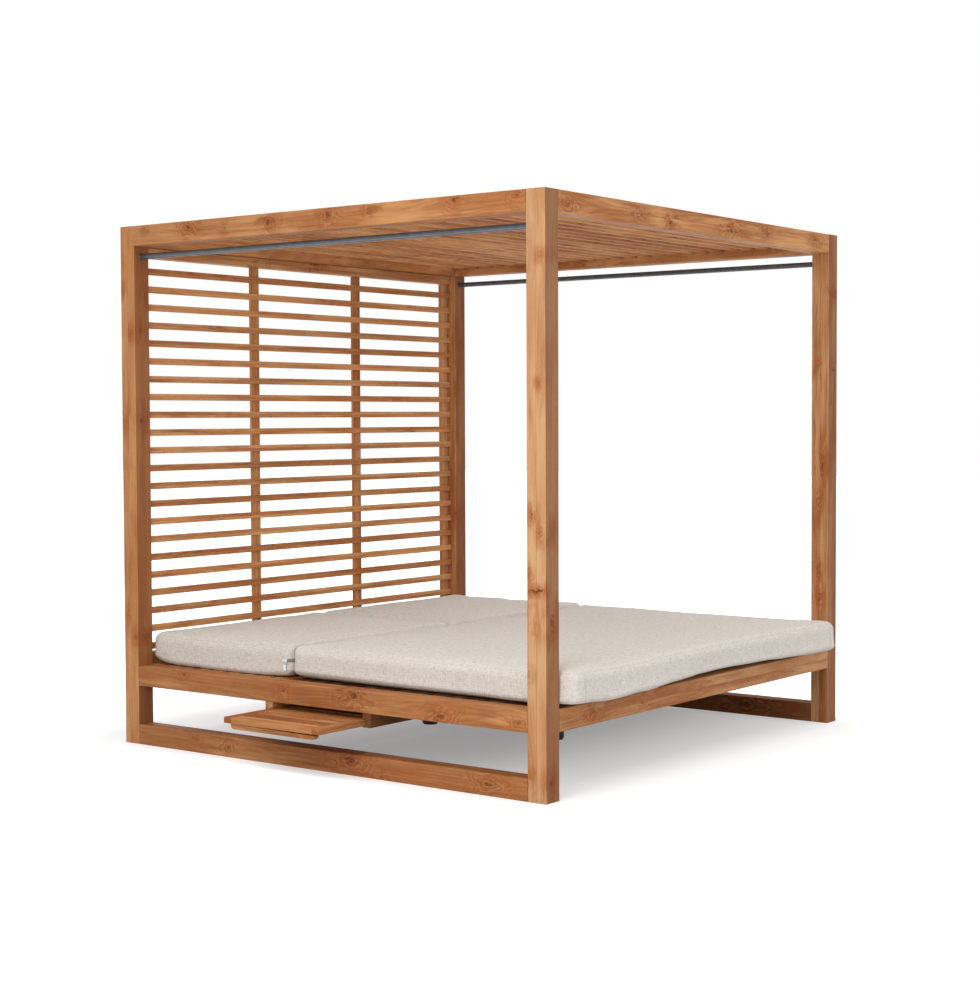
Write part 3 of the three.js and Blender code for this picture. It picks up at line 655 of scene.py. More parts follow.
def build_woven_cloth():
    """A plain weave with thicker slubs in both directions."""
    graph, given, result = new_group(
        "woven_cloth",
        {"Vector": ("Cloth",), "Float": ("Thread Spacing",), "Color": ("Light Yarn", "Dark Yarn")},
        {"Color": ("Color",), "Float": ("Height",)},
    )
    cloth = given["Cloth"]
    wander = graph.noise(cloth, 1.0, scale=45.0, output="Color")
    x, y, _ = (cloth + (wander - 0.5) * (1.2 * MM)).split()
    warp, weft = ((axis / given["Thread Spacing"] * math.pi).apply("SINE") for axis in (x, y))
    on_top = (warp * weft).ease(-0.25, 0.25)
    thread = on_top * warp.apply("ABSOLUTE") + (1.0 - on_top) * weft.apply("ABSOLUTE")

    def thick_yarns(along, across, roughness, low, high):
        scales = ((along, across, 1.0), (across, along, 1.0))
        first, second = (graph.noise(cloth * scale, 2.0, roughness).ease(low, high) for scale in scales)
        return first + second

    slub = thick_yarns(46.0, 300.0, 0.6, 0.44, 0.66)
    wide = thick_yarns(18.0, 150.0, 0.5, 0.35, 0.75)
    flecks = graph.noise(cloth, 1.0, scale=900.0)
    dark = ((1.0 - thread) * 0.30 + slub * 0.29 + wide * 0.12 + (flecks - 0.5) * 0.30).clamped()
    graph.feed(result, {
        "Color": graph.mix(dark, given["Light Yarn"], given["Dark Yarn"]),
        "Height": thread * 0.55 + slub * 0.45,
    })


def build_surface_wear():
    """Patchy variation for coated metal and plastic."""
    graph, given, result = new_group(
        "surface_wear", {"Vector": ("Place",), "Float": ("Size",)}, {"Float": ("Patches", "Grit")})
    graph.feed(result, {
        "Patches": graph.noise(given["Place"] * given["Size"], 3.0, 0.6).ease(0.3, 0.7),
        "Grit": graph.noise(given["Place"], scale=1400.0),
    })


# Materials


def timber_material(
        name, lamella=1.0, knot_share=0.3, knot_size=0.12, knots=(), ring_scale=1.0, curl=1.0, shade=1.0):
    """Oiled teak, with worn edges a little paler. A shade below 1 darkens all of its colours, which is
    painted shade.
    """
    timber = bpy.context.scene.daybed_timber
    graph, shader = new_material(name)
    board, heart = graph.attribute("board"), graph.attribute("heart")
    scattered = {"Board": board, "Heart": heart, "Share": knot_share, "Size": knot_size}
    near = graph.use("scattered_knots", scattered)["Near"]
    for axis, along, across, radius, stretch in knots:
        centre, reach = [along, across, across], [1 / (radius * stretch), 1 / radius, 1 / radius]
        centre[axis], reach[axis] = 0.0, KNOT_DEPTH / radius
        knot = graph.use("knot_reach", {"Board": board, "Centre": centre, "Reach": reach})
        near = graph.reckon("MINIMUM", near, knot["Near"])
    grain = graph.use("timber_grain", {
        "Board": board, "Heart": heart, "Seed": graph.attribute("seed"), "Near": near, "Lamella": lamella,
        "Ring Spacing": timber.ring_spacing * ring_scale, "Curl": curl,
        **{f"{tint.title()} Wood": opaque(getattr(timber, f"{tint}_wood"), shade)
           for tint in ("light", "pale", "dark", "red", "knot")},
    })
    paler = graph.mix(1.0, grain["Color"], (1.32, 1.30, 1.28, 1.0), "MULTIPLY")
    graph.feed(shader, {
        "Base Color": graph.mix(graph.attribute("edge", "Fac") * 0.22, grain["Color"], paler),
        "Roughness": grain["Roughness"],
        "Specular IOR Level": 0.16,
        "Normal": graph.bump(grain["Height"], 0.35, 0.6 * MM),
    })


def fabric_material(name, light_yarn, dark_yarn):
    """Slubby woven cover, with a dark stitched line where its panels meet."""
    graph, shader = new_material(name)
    cloth = graph.use("woven_cloth", {
        "Cloth": graph.attribute("cloth"),
        "Thread Spacing": bpy.context.scene.daybed_fabric.thread_spacing,
        "Light Yarn": opaque(light_yarn),
        "Dark Yarn": opaque(dark_yarn),
    })
    seam = graph.attribute("seam", "Fac").ease(0.72, 0.98)
    graph.feed(shader, {
        "Base Color": graph.mix(seam * 0.16, cloth["Color"], opaque(dark_yarn, 0.4)),
        "Roughness": 0.92,
        "Specular IOR Level": 0.2,
        "Sheen Weight": 0.10,
        "Sheen Roughness": 0.5,
        "Normal": graph.bump(cloth["Height"] - seam * 1.5, 0.6, 0.6 * MM),
    })


def coated_material(
        name, colour, roughness, metallic, lift, patch=55.0, spread=0.12, grit=0.12, depth=0.4 * MM):
    """Paint, bare steel or moulded plastic: patchy gloss, and a fine grit in its height."""
    graph, shader = new_material(name)
    wear = graph.use("surface_wear", {"Place": graph.place(), "Size": patch})
    graph.feed(shader, {
        "Base Color": graph.mix(wear["Patches"], opaque(colour), opaque(colour, lift)),
        "Roughness": wear["Patches"] * spread + roughness,
        "Metallic": metallic,
        "Normal": graph.bump(wear["Grit"], grit, depth),
    })
    return shader


def build_materials():
    build_knot_reach()
    build_scattered_knots()
    build_timber_grain()
    build_woven_cloth()
    build_surface_wear()
    scene = bpy.context.scene
    metal, timber, fabric = scene.daybed_metal, scene.daybed_timber, scene.daybed_fabric
    timber_material("teak_post", timber.post_lamella, 0.22, 0.09, curl=0.2)
    timber_material("teak_rail", knot_share=0.40, curl=0.8)
    timber_material("teak_slat", knot_share=0.22, knot_size=0.09, ring_scale=0.7, curl=0.4)
    # The hidden teak keeps its colour. The deck and runner copies are darkened as painted shade, for the deep
    # shade below the cushions and under the bed.
    for name, shade in (("teak_hidden", 1.0), ("dark_deck", 0.2), ("dark_runner", 0.48)):
        timber_material(name, knot_share=0.22, curl=0.4, shade=shade)
    for node, knots in KNOTS.items():
        lamella, curl = (timber.post_lamella, 0.25) if node.startswith("post") else (1.0, 1.0)
        timber_material(f"teak_{node}", lamella, 0.0, knots=knots, curl=curl)
    fabric_material("cover_cloth", fabric.light_yarn, fabric.dark_yarn)
    fabric_material("zip_tape", fabric.tape_colour, [0.6 * v for v in fabric.tape_colour])
    coated_material("leg_plastic", metal.leg_colour, 0.46, 0.0, 1.7)
    coated_material("bright_steel", metal.steel_colour, 0.24, 1.0, 1.12)
    rod = coated_material("rod_paint", metal.rod_colour, 0.30, 0.5, 1.35, 40.0, 0.06, 0.05, 0.3 * MM)
    rod["Coat Weight"].default_value = 0.40
    rod["Coat Roughness"].default_value = 0.15


# Mesh helpers


def place_piece(piece, body, slot, *nodes):
    """The piece rides on its body and stands for its CAD nodes. Its slot is not used."""
    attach(piece, body)
    if nodes:
        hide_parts(*nodes)


def link_mesh(name, mesh, material):
    piece = bpy.data.objects.new(name, mesh)
    bpy.context.scene.collection.objects.link(piece)
    mesh.materials.append(bpy.data.materials[material])
    return piece


def finish_mesh(work, name):
    """Turns a mesh in the making into a mesh whose faces look outwards."""
    bmesh.ops.recalc_face_normals(work, faces=work.faces)
    mesh = bpy.data.meshes.new(name)
    work.to_mesh(mesh)
    work.free()
    return mesh


def soften_normals(piece):
    """Flat faces stay flat and their rounded edges shade smoothly."""
    piece.data.shade_smooth()
    piece.modifiers.new("weighted_normals", "WEIGHTED_NORMAL").weight = FLAT_WEIGHT


def write_attributes(mesh, **values):
    """Writes a number or a vector for each point of a mesh, under each name."""
    for name, rows in values.items():
        rows = np.asarray(rows, np.float32)
        kind, field = ("FLOAT_VECTOR", "vector") if rows.ndim == 2 else ("FLOAT", "value")
        mesh.attributes.new(name, kind, "POINT").data.foreach_set(field, rows.ravel())


def between_rings(rings):
    """The corners of the faces that join each ring of points to the next. A ring can be one point."""
    for first, second in zip(rings, rings[1:]):
        count = max(len(first), len(second))
        for i in range(count):
            j = (i + 1) % count
            near = first[i % len(first)], first[j % len(first)]
            far = second[j % len(second)], second[i % len(second)]
            yield tuple(dict.fromkeys((*near, *far)))


def round_edges(work, edges, ease):
    bmesh.ops.bevel(
        work, geom=edges, offset=ease, segments=2, profile=0.5, affect="EDGES", clamp_overlap=True)


def rounded_outline(width, height, radius):
    """Points of a rectangle with rounded corners about the origin, and 1 for those on a corner's middle."""
    points, edges = [], []
    for index, (sx, sy) in enumerate(((1, 1), (-1, 1), (-1, -1), (1, -1))):
        for step in range(CORNER_STEPS + 1):
            angle = (index + step / CORNER_STEPS) * math.pi / 2
            points.append((
                sx * (width / 2 - radius) + radius * math.cos(angle),
                sy * (height / 2 - radius) + radius * math.sin(angle),
            ))
            edges.append(1.0 if 0 < step < CORNER_STEPS else 0.0)
    return points, edges


def board_seed(dice, tone=None):
    """How pale a board is, a number for its noise, and how dark it is, drawn unless the tone is given."""
    spread = bpy.context.scene.daybed_timber.tone_spread
    pale, number, drawn = dice.random() ** 2, dice.random(), dice.uniform(-spread, spread)
    return (0.5 * pale, number, drawn) if tone is None else (tone[0], number, tone[1])


class BoardStack:
    """Boards that make one piece, each with eased edges and its own place in a tree."""

    def __init__(self, name):
        self.name = name
        self.dice = random.Random(name)
        self.points, self.faces = [], []
        self.board, self.seed, self.heart, self.edge = [], [], [], []

    def add(self, low, high, along, ease=None, tone=None):
        """A board between two corners whose grain runs along x, y or z."""
        timber = bpy.context.scene.daybed_timber
        ease = timber.slat_ease if ease is None else ease
        end_ease = min(timber.end_ease, 0.9 * ease)
        low, high = Vector(low), Vector(high)
        centre, size = (low + high) / 2, high - low
        axes = SECTION_AXES[along]
        length, width, height = (size[axis] for axis in axes)
        seed = board_seed(self.dice, tone)
        turn = 0.5 * math.pi * self.dice.choice((0, 1, 2, 3)) + self.dice.uniform(-0.5, 0.5)
        aside = self.dice.uniform(*HEART_ASIDE)
        heart = (self.dice.uniform(0, HEART_RUN), aside * math.cos(turn), aside * math.sin(turn))
        cap = []
        for step in range(END_STEPS + 1):
            angle = step / END_STEPS * math.pi / 2
            inset, depth = end_ease * (1 - math.sin(angle)), end_ease * (1 - math.cos(angle))
            cap.append((depth - length / 2, inset, 1.0 if 0 < step < END_STEPS else 0.0))
        rings = []
        for place, inset, worn in cap + [(-place, inset, worn) for place, inset, worn in reversed(cap)]:
            outline, edges = rounded_outline(width - 2 * inset, height - 2 * inset, ease - inset)
            rings.append(range(len(self.points), len(self.points) + len(outline)))
            for (u, v), edge in zip(outline, edges):
                point = centre.copy()
                for axis, value in zip(axes, (place, u, v)):
                    point[axis] += value
                self.points.append(point)
                self.board.append((place, u, v))
                self.edge.append(max(edge, worn))
            self.seed += [seed] * len(outline)
            self.heart += [heart] * len(outline)
        self.faces += [*between_rings(rings), tuple(reversed(rings[0])), tuple(rings[-1])]
        return self

    def finish(self, material):
        mesh = bpy.data.meshes.new(self.name)
        mesh.from_pydata(self.points, [], self.faces)
        write_attributes(mesh, board=self.board, seed=self.seed, heart=self.heart, edge=self.edge)
        piece = link_mesh(self.name, mesh, material)
        soften_normals(piece)
        return piece


def single_board(node, along, material, ease=None):
    """A board that fills the box of a CAD node and stands for it."""
    stack = BoardStack(f"{node}_board").add(*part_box(node), along, ease, BOARD_TONES_AND_PAINTED_LIGHT.get(node))
    piece = stack.finish(f"teak_{node}" if node in KNOTS else material)
    place_piece(piece, BODY_OF[node], "teak", node)


def shaped_timber(node, along, material, ease, sharp=SHARP):
    """A CAD node with holes or notches, copied, with its edges eased and its grain laid along it."""
    mesh = frame["nodes"][node].data.copy()
    mesh.name = f"{node}_shape"
    mesh.materials.clear()
    work = bmesh.new()
    work.from_mesh(mesh)
    bmesh.ops.remove_doubles(work, verts=work.verts, dist=WELD)
    bmesh.ops.dissolve_limit(work, angle_limit=FLAT, verts=work.verts, edges=work.edges)
    edges = [e for e in work.edges if len(e.link_faces) == 2 and e.calc_face_angle(0.0) > sharp]
    round_edges(work, edges, ease)
    work.to_mesh(mesh)
    work.free()
    low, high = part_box(node)
    places = [v.co - (low + high) / 2 for v in mesh.vertices]
    seed = board_seed(random.Random(node), BOARD_TONES_AND_PAINTED_LIGHT.get(node))
    heart = (HEART_RUN * seed[1], SHAPED_ASIDE[0] * seed[1], SHAPED_ASIDE[1])
    write_attributes(
        mesh,
        board=[[place[axis] for axis in SECTION_AXES[along]] for place in places],
        seed=[seed] * len(places),
        heart=[heart] * len(places),
        edge=[0.0] * len(places),
    )
    piece = link_mesh(f"{node}_shape", mesh, material)
    soften_normals(piece)
    place_piece(piece, BODY_OF[node], "teak", node)


def turned_piece(name, profile, centre, axis, material, sides=ROD_SIDES, way=1):
    """A round piece: (radius, place) pairs turned about an axis through a point, to either way."""
    work = bmesh.new()
    circle = [(math.cos(i / sides * math.tau), math.sin(i / sides * math.tau)) for i in range(sides)]
    rings = []
    for radius, place in profile:
        spots = circle if radius else [(0, 0)]
        rings.append([work.verts.new((radius * x, radius * y, way * place)) for x, y in spots])
    for corners in between_rings(rings):
        work.faces.new(corners)
    bmesh.ops.transform(work, matrix=Matrix.Translation(centre) @ AXIS_TURNS[axis], verts=work.verts)
    mesh = finish_mesh(work, name)
    mesh.shade_smooth()
    mesh.set_sharp_from_angle(angle=SHARP)
    return link_mesh(name, mesh, material)


def rod_profile(radius, length, chamfer):
    """The profile of a plain rod with chamfered ends."""
    half = length / 2
    return [
        (0, -half), (radius - chamfer, -half), (radius, chamfer - half),
        (radius, half - chamfer), (radius - chamfer, half), (0, half),
    ]


# Timber, rods and bolts


def stile_places():
    """Where the head panel's stiles and the roof's battens stand across the frame."""
    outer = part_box("head_panel_sill")[1].x - STILE / 2
    inner = -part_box("seat_rail_left")[1].x / 3
    return [-outer, -inner, inner, outer]


class DAYBED_OT_frame(bpy.types.Operator):
    """Make the corner posts and the rails at the top, seat and floor"""
    bl_idname = "daybed.frame"
    bl_label = "Posts and rails"

    def execute(self, context):
        ease = context.scene.daybed_timber.frame_ease
        for side, _ in SIDES:
            for end, _ in ENDS:
                single_board(f"post_{end}_{side}", "z", "teak_post", ease)
            for level in ("top_rail", "seat_rail", "floor_rail"):
                single_board(f"{level}_{side}", "y", "teak_rail", ease)
        for end, _ in ENDS:
            for level in ("top_rail", "seat_rail"):
                single_board(f"{level}_{end}", "x", "teak_rail", ease)
        return {"FINISHED"}


class DAYBED_OT_head_panel(bpy.types.Operator):
    """Make the slatted panel at the head end"""
    bl_idname = "daybed.head_panel"
    bl_label = "Head panel"

    def execute(self, context):
        for node in ("head_panel_top_rail", "head_panel_sill"):
            single_board(node, "x", "teak_rail", context.scene.daybed_timber.frame_ease)
        low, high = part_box("head_panel_slats")
        stiles, slats = BoardStack("head_panel_stiles"), BoardStack("head_panel_slat_row")
        for x in stile_places():
            stiles.add((x - STILE / 2, high.y - STILE, low.z), (x + STILE / 2, high.y, high.z), "z")
        lowest = low.z - GAP + HEAD_BOTTOM_GAP
        highest = high.z + GAP - HEAD_TOP_GAP - SLAT_HEIGHT
        back = high.y - STILE + SLAT_HOUSING
        for i in range(HEAD_SLATS):
            z = lowest + i * (highest - lowest) / (HEAD_SLATS - 1)
            slats.add((low.x, back - SLAT_THICKNESS, z), (high.x, back, z + SLAT_HEIGHT), "x")
        for stack in (stiles, slats):
            place_piece(stack.finish("teak_slat"), "base", "teak", "head_panel_slats")
        return {"FINISHED"}


class DAYBED_OT_roof(bpy.types.Operator):
    """Make the slatted roof on its four battens"""
    bl_idname = "daybed.roof"
    bl_label = "Roof"

    def execute(self, context):
        low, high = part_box("roof_slats")
        battens, slats = BoardStack("roof_battens"), BoardStack("roof_slat_row")
        for x in stile_places():
            battens.add((x - STILE / 2, low.y, high.z - STILE), (x + STILE / 2, high.y, high.z), "y")
        bay = high.y + GAP
        gap = (2 * bay - ROOF_SLATS * SLAT_HEIGHT) / (ROOF_SLATS + 1)
        for i in range(ROOF_SLATS):
            y = gap - bay + i * (SLAT_HEIGHT + gap)
            top = high.z - STILE + ROOF_HOUSING - SLAT_UNEVEN * slats.dice.random()
            tone = (ROOF_PALE * slats.dice.random(), slats.dice.uniform(*ROOF_DARK))
            slats.add((low.x, y, top - SLAT_THICKNESS), (high.x, y + SLAT_HEIGHT, top), "x", tone=tone)
        for stack in (battens, slats):
            place_piece(stack.finish("teak_slat"), "base", "teak", "roof_slats")
        return {"FINISHED"}


class DAYBED_OT_curtain_rods(bpy.types.Operator):
    """Make the curtain rods and the turned sockets that hold their ends"""
    bl_idname = "daybed.curtain_rods"
    bl_label = "Curtain rods"

    def execute(self, context):
        for side, _ in SIDES:
            node = f"curtain_rod_{side}"
            low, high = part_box(node)
            centre, radius = (low + high) / 2, (high.z - low.z) / 2
            profile = rod_profile(radius, high.y - low.y, ROD_CHAMFER)
            rod = turned_piece(f"{node}_tube", profile, centre, "y", "rod_paint")
            self.groove(rod, centre, radius)
            place_piece(rod, "base", "dark_metal", node)
            for end, sign in ENDS:
                self.socket(f"rod_bracket_{end}_{side}", sign, centre, radius)
        return {"FINISHED"}

    def groove(self, rod, centre, radius):
        """Presses the slot for the curtain gliders into both flanks of the tube."""
        for vertex in rod.data.vertices:
            out = vertex.co - centre
            if abs(out.z) < ROD_FLANK * radius and abs(out.x) > radius / 2:
                vertex.co.x -= math.copysign(ROD_GROOVE, out.x)
        rod.data.set_sharp_from_angle(angle=SHARP)

    def socket(self, node, sign, rod_centre, rod_radius):
        """A turned socket against the post: a thin flange and a cup round the rod's end."""
        low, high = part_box(node)
        wall = Vector((rod_centre.x, high.y if sign > 0 else low.y, rod_centre.z))
        depth, outer = high.y - low.y, (high.z - low.z) / 2 - SOCKET_INSET
        bore = rod_radius + SOCKET_PLAY
        cup, flange, ease = bore + SOCKET_WALL, SOCKET_FLANGE, SOCKET_EASE
        profile = [
            (bore, 0), (outer, 0), (outer, flange - ease), (outer - ease, flange), (cup + ease, flange),
            (cup, flange + ease), (cup, depth - ease), (cup - ease, depth), (bore, depth), (bore, 0),
        ]
        made = turned_piece(f"{node}_turned", profile, wall, "y", "rod_paint", SOCKET_SIDES, -sign)
        place_piece(made, "base", "dark_metal", node)


class DAYBED_OT_carriers(bpy.types.Operator):
    """Make the centre beam, its round legs and the ledgers on the side rails"""
    bl_idname = "daybed.carriers"
    bl_label = "Beam, legs and ledgers"

    def execute(self, context):
        single_board("centre_beam", "y", "teak_rail", context.scene.daybed_timber.frame_ease)
        for side, _ in SIDES:
            single_board(f"ledger_{side}", "y", "teak_hidden")
        for end, _ in ENDS:
            node = f"centre_leg_{end}"
            low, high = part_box(node)
            radius, tall = (high.x - low.x) / 2, high.z - low.z
            profile = [(0, 0)]
            profile += [(radius - inset * MM, up * MM) for inset, up in LEG_FOOT]
            profile += [(radius - inset * MM, tall - down * MM) for inset, down in LEG_HEAD]
            profile += [(0, tall)]
            centre = Vector(((low.x + high.x) / 2, (low.y + high.y) / 2, low.z))
            leg = turned_piece(f"{node}_turned", profile, centre, "z", "leg_plastic", LEG_SIDES)
            place_piece(leg, "base", "black_foot", node)
        return {"FINISHED"}


class DAYBED_OT_seat_decks(bpy.types.Operator):
    """Make the two slatted decks under the seat cushion"""
    bl_idname = "daybed.seat_decks"
    bl_label = "Seat decks"

    batten_width: length_property("Batten width", "Width of the battens below the slats", 0.022)
    batten_share: share_property("Batten share", "How far out the battens stand in a bay", 0.54)

    def execute(self, context):
        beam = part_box("centre_beam")[1].x
        rail = -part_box("seat_rail_left")[1].x
        middle, reach = (beam + rail) / 2, self.batten_share * (rail - beam) / 2
        for side, sign in SIDES:
            node = f"seat_deck_{side}"
            low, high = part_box(node)
            deck = BoardStack(f"{node}_boards")
            deep = high.y - low.y
            count = round((deep + DECK_GAP) / (DECK_SLAT + DECK_GAP))
            gap = (deep - count * DECK_SLAT) / (count - 1)
            under = high.z - DECK_THICKNESS
            for i in range(count):
                y = low.y + i * (DECK_SLAT + gap)
                deck.add((low.x, y, under), (high.x, y + DECK_SLAT, high.z), "x", DECK_EASE)
            half, back = self.batten_width / 2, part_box(f"hinge_rail_{side}")[0].y - GAP
            for x in (sign * middle - reach, sign * middle + reach):
                deck.add((x - half, low.y, low.z), (x + half, back, under + SLAT_HOUSING), "y")
            # The decks take the copy of teak darkened with painted shade.
            place_piece(deck.finish("dark_deck"), "base", "teak", node)
        return {"FINISHED"}


class DAYBED_OT_recliners(bpy.types.Operator):
    """Make the hinge rails, notched racks, bolts, reclining backrests and their props"""
    bl_idname = "daybed.recliners"
    bl_label = "Reclining backs"

    def execute(self, context):
        for side, sign in SIDES:
            single_board(f"hinge_rail_{side}", "x", "teak_hidden", HINGE_RAIL_EASE)
            for place, direction in (("inner", -sign), ("outer", sign)):
                shaped_timber(f"rack_{side}_{place}", "y", "teak_hidden", HIDDEN_EASE, NOSE_SHARP)
                self.bolt(f"hinge_bolt_{side}_{place}", direction)
            shaped_timber(f"backrest_{side}", "x", "teak_slat", SHAPED_EASE, NOSE_SHARP)
            shaped_timber(f"prop_frame_{side}", "y", "teak_hidden", HIDDEN_EASE, NOSE_SHARP)
            for node in (f"prop_pivot_rod_{side}", f"prop_foot_rod_{side}"):
                low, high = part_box(node)
                profile = rod_profile((high.z - low.z) / 2, high.x - low.x, STEEL_CHAMFER)
                centre = (low + high) / 2
                rod = turned_piece(f"{node}_turned", profile, centre, "x", "bright_steel", STEEL_SIDES)
                place_piece(rod, BODY_OF[node], "stainless", node)
        return {"FINISHED"}

    def bolt(self, node, direction):
        """A bolt with a domed head and its washer, and a hexagonal nut with another washer."""
        low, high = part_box(node)
        half, radius = (high.x - low.x) / 2, (high.z - low.z) / 2
        head, dome = half - BOLT_HEAD, half - BOLT_HEAD + HEAD_WASHER
        wood, nut = BOLT_HEAD - half, BOLT_HEAD - half - NUT_WASHER
        parts = {
            "turned": (STEEL_SIDES, (
                (0, -half), (BOLT_SHANK, -half), (BOLT_SHANK, head), (radius, head), (radius, dome),
                (radius - 0.3 * MM, dome), (0.86 * radius, half - 2 * MM),
                (0.55 * radius, half - 0.4 * MM), (0, half),
            )),
            "washer": (STEEL_SIDES, ((BOLT_SHANK, wood), (radius, wood), (radius, nut), (BOLT_SHANK, nut))),
            "nut": (NUT_SIDES, (
                (BOLT_SHANK, nut), (0.93 * radius, nut), (0.93 * radius, 0.9 * MM - half),
                (0.82 * radius, 0.4 * MM - half), (BOLT_SHANK, 0.4 * MM - half),
            )),
        }
        for part, (sides, profile) in parts.items():
            centre = (low + high) / 2
            made = turned_piece(f"{node}_{part}", profile, centre, "x", "bright_steel", sides, direction)
            place_piece(made, "base", "stainless", *((node,) if part == "turned" else ()))


class DAYBED_OT_trays(bpy.types.Operator):
    """Make the sliding trays with their aprons and stops, and the grooved runners"""
    bl_idname = "daybed.trays"
    bl_label = "Trays and runners"

    def execute(self, context):
        # The foot runner takes the copy of teak darkened with painted shade.
        for end, material in (("foot", "dark_runner"), ("head", "teak_rail")):
            shaped_timber(f"tray_runner_{end}", "x", material, RUNNER_EASE)
        for side, _ in SIDES:
            node = f"tray_{side}"
            low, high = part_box(node)
            tray = BoardStack(f"{node}_boards")
            for y in (low.y, high.y - TRAY_BATTEN):
                tray.add((low.x, y, low.z), (high.x, y + TRAY_BATTEN, high.z), "x", tone=TRAY_BATTEN_TONE_AND_PAINTED_SHADE)
            width = (high.x - low.x - (TRAY_SLATS - 1) * TRAY_GAP) / TRAY_SLATS
            reach = high.y - TRAY_BATTEN
            for i, dark in enumerate(TRAY_TONES_AND_PAINTED_SHADE):
                x = low.x + i * (width + TRAY_GAP)
                tray.add((x, -reach, low.z), (x + width, reach, high.z), "y", tone=(0.3 * (i % 3), dark))
            place_piece(tray.finish("teak_slat"), node, "teak", node)
            shaped_timber(f"tray_apron_{side}", "y", "teak_slat", SHAPED_EASE)
            single_board(f"tray_stop_{side}", "z", "teak_slat")
        return {"FINISHED"}


# Cushions


def stations(low, high, zone, cell, wanted=()):
    """Places along an edge: close together near both ends, even between them, and on the wanted ones."""
    inner = max(1, round((high - low - 2 * zone) / cell))
    places = [low + zone * i / EDGE_STEPS for i in range(EDGE_STEPS)]
    places += [low + zone + (high - low - 2 * zone) * i / inner for i in range(inner + 1)]
    places += [high - zone + zone * i / EDGE_STEPS for i in range(1, EDGE_STEPS + 1)]
    for value in wanted:
        nearest = min(range(len(places)), key=lambda i: abs(places[i] - value))
        places[nearest] = value
    return places


def smooth_share(value, low, high):
    share = min(1.0, max(0.0, (value - low) / (high - low)))
    return share * share * (3 - 2 * share)


def along_table(table, value):
    """A smooth curve through pairs of place and height."""
    for (start, first), (end, last) in zip(table, table[1:]):
        if value <= end:
            return first + (last - first) * smooth_share(value, start, end)
    return table[-1][1]


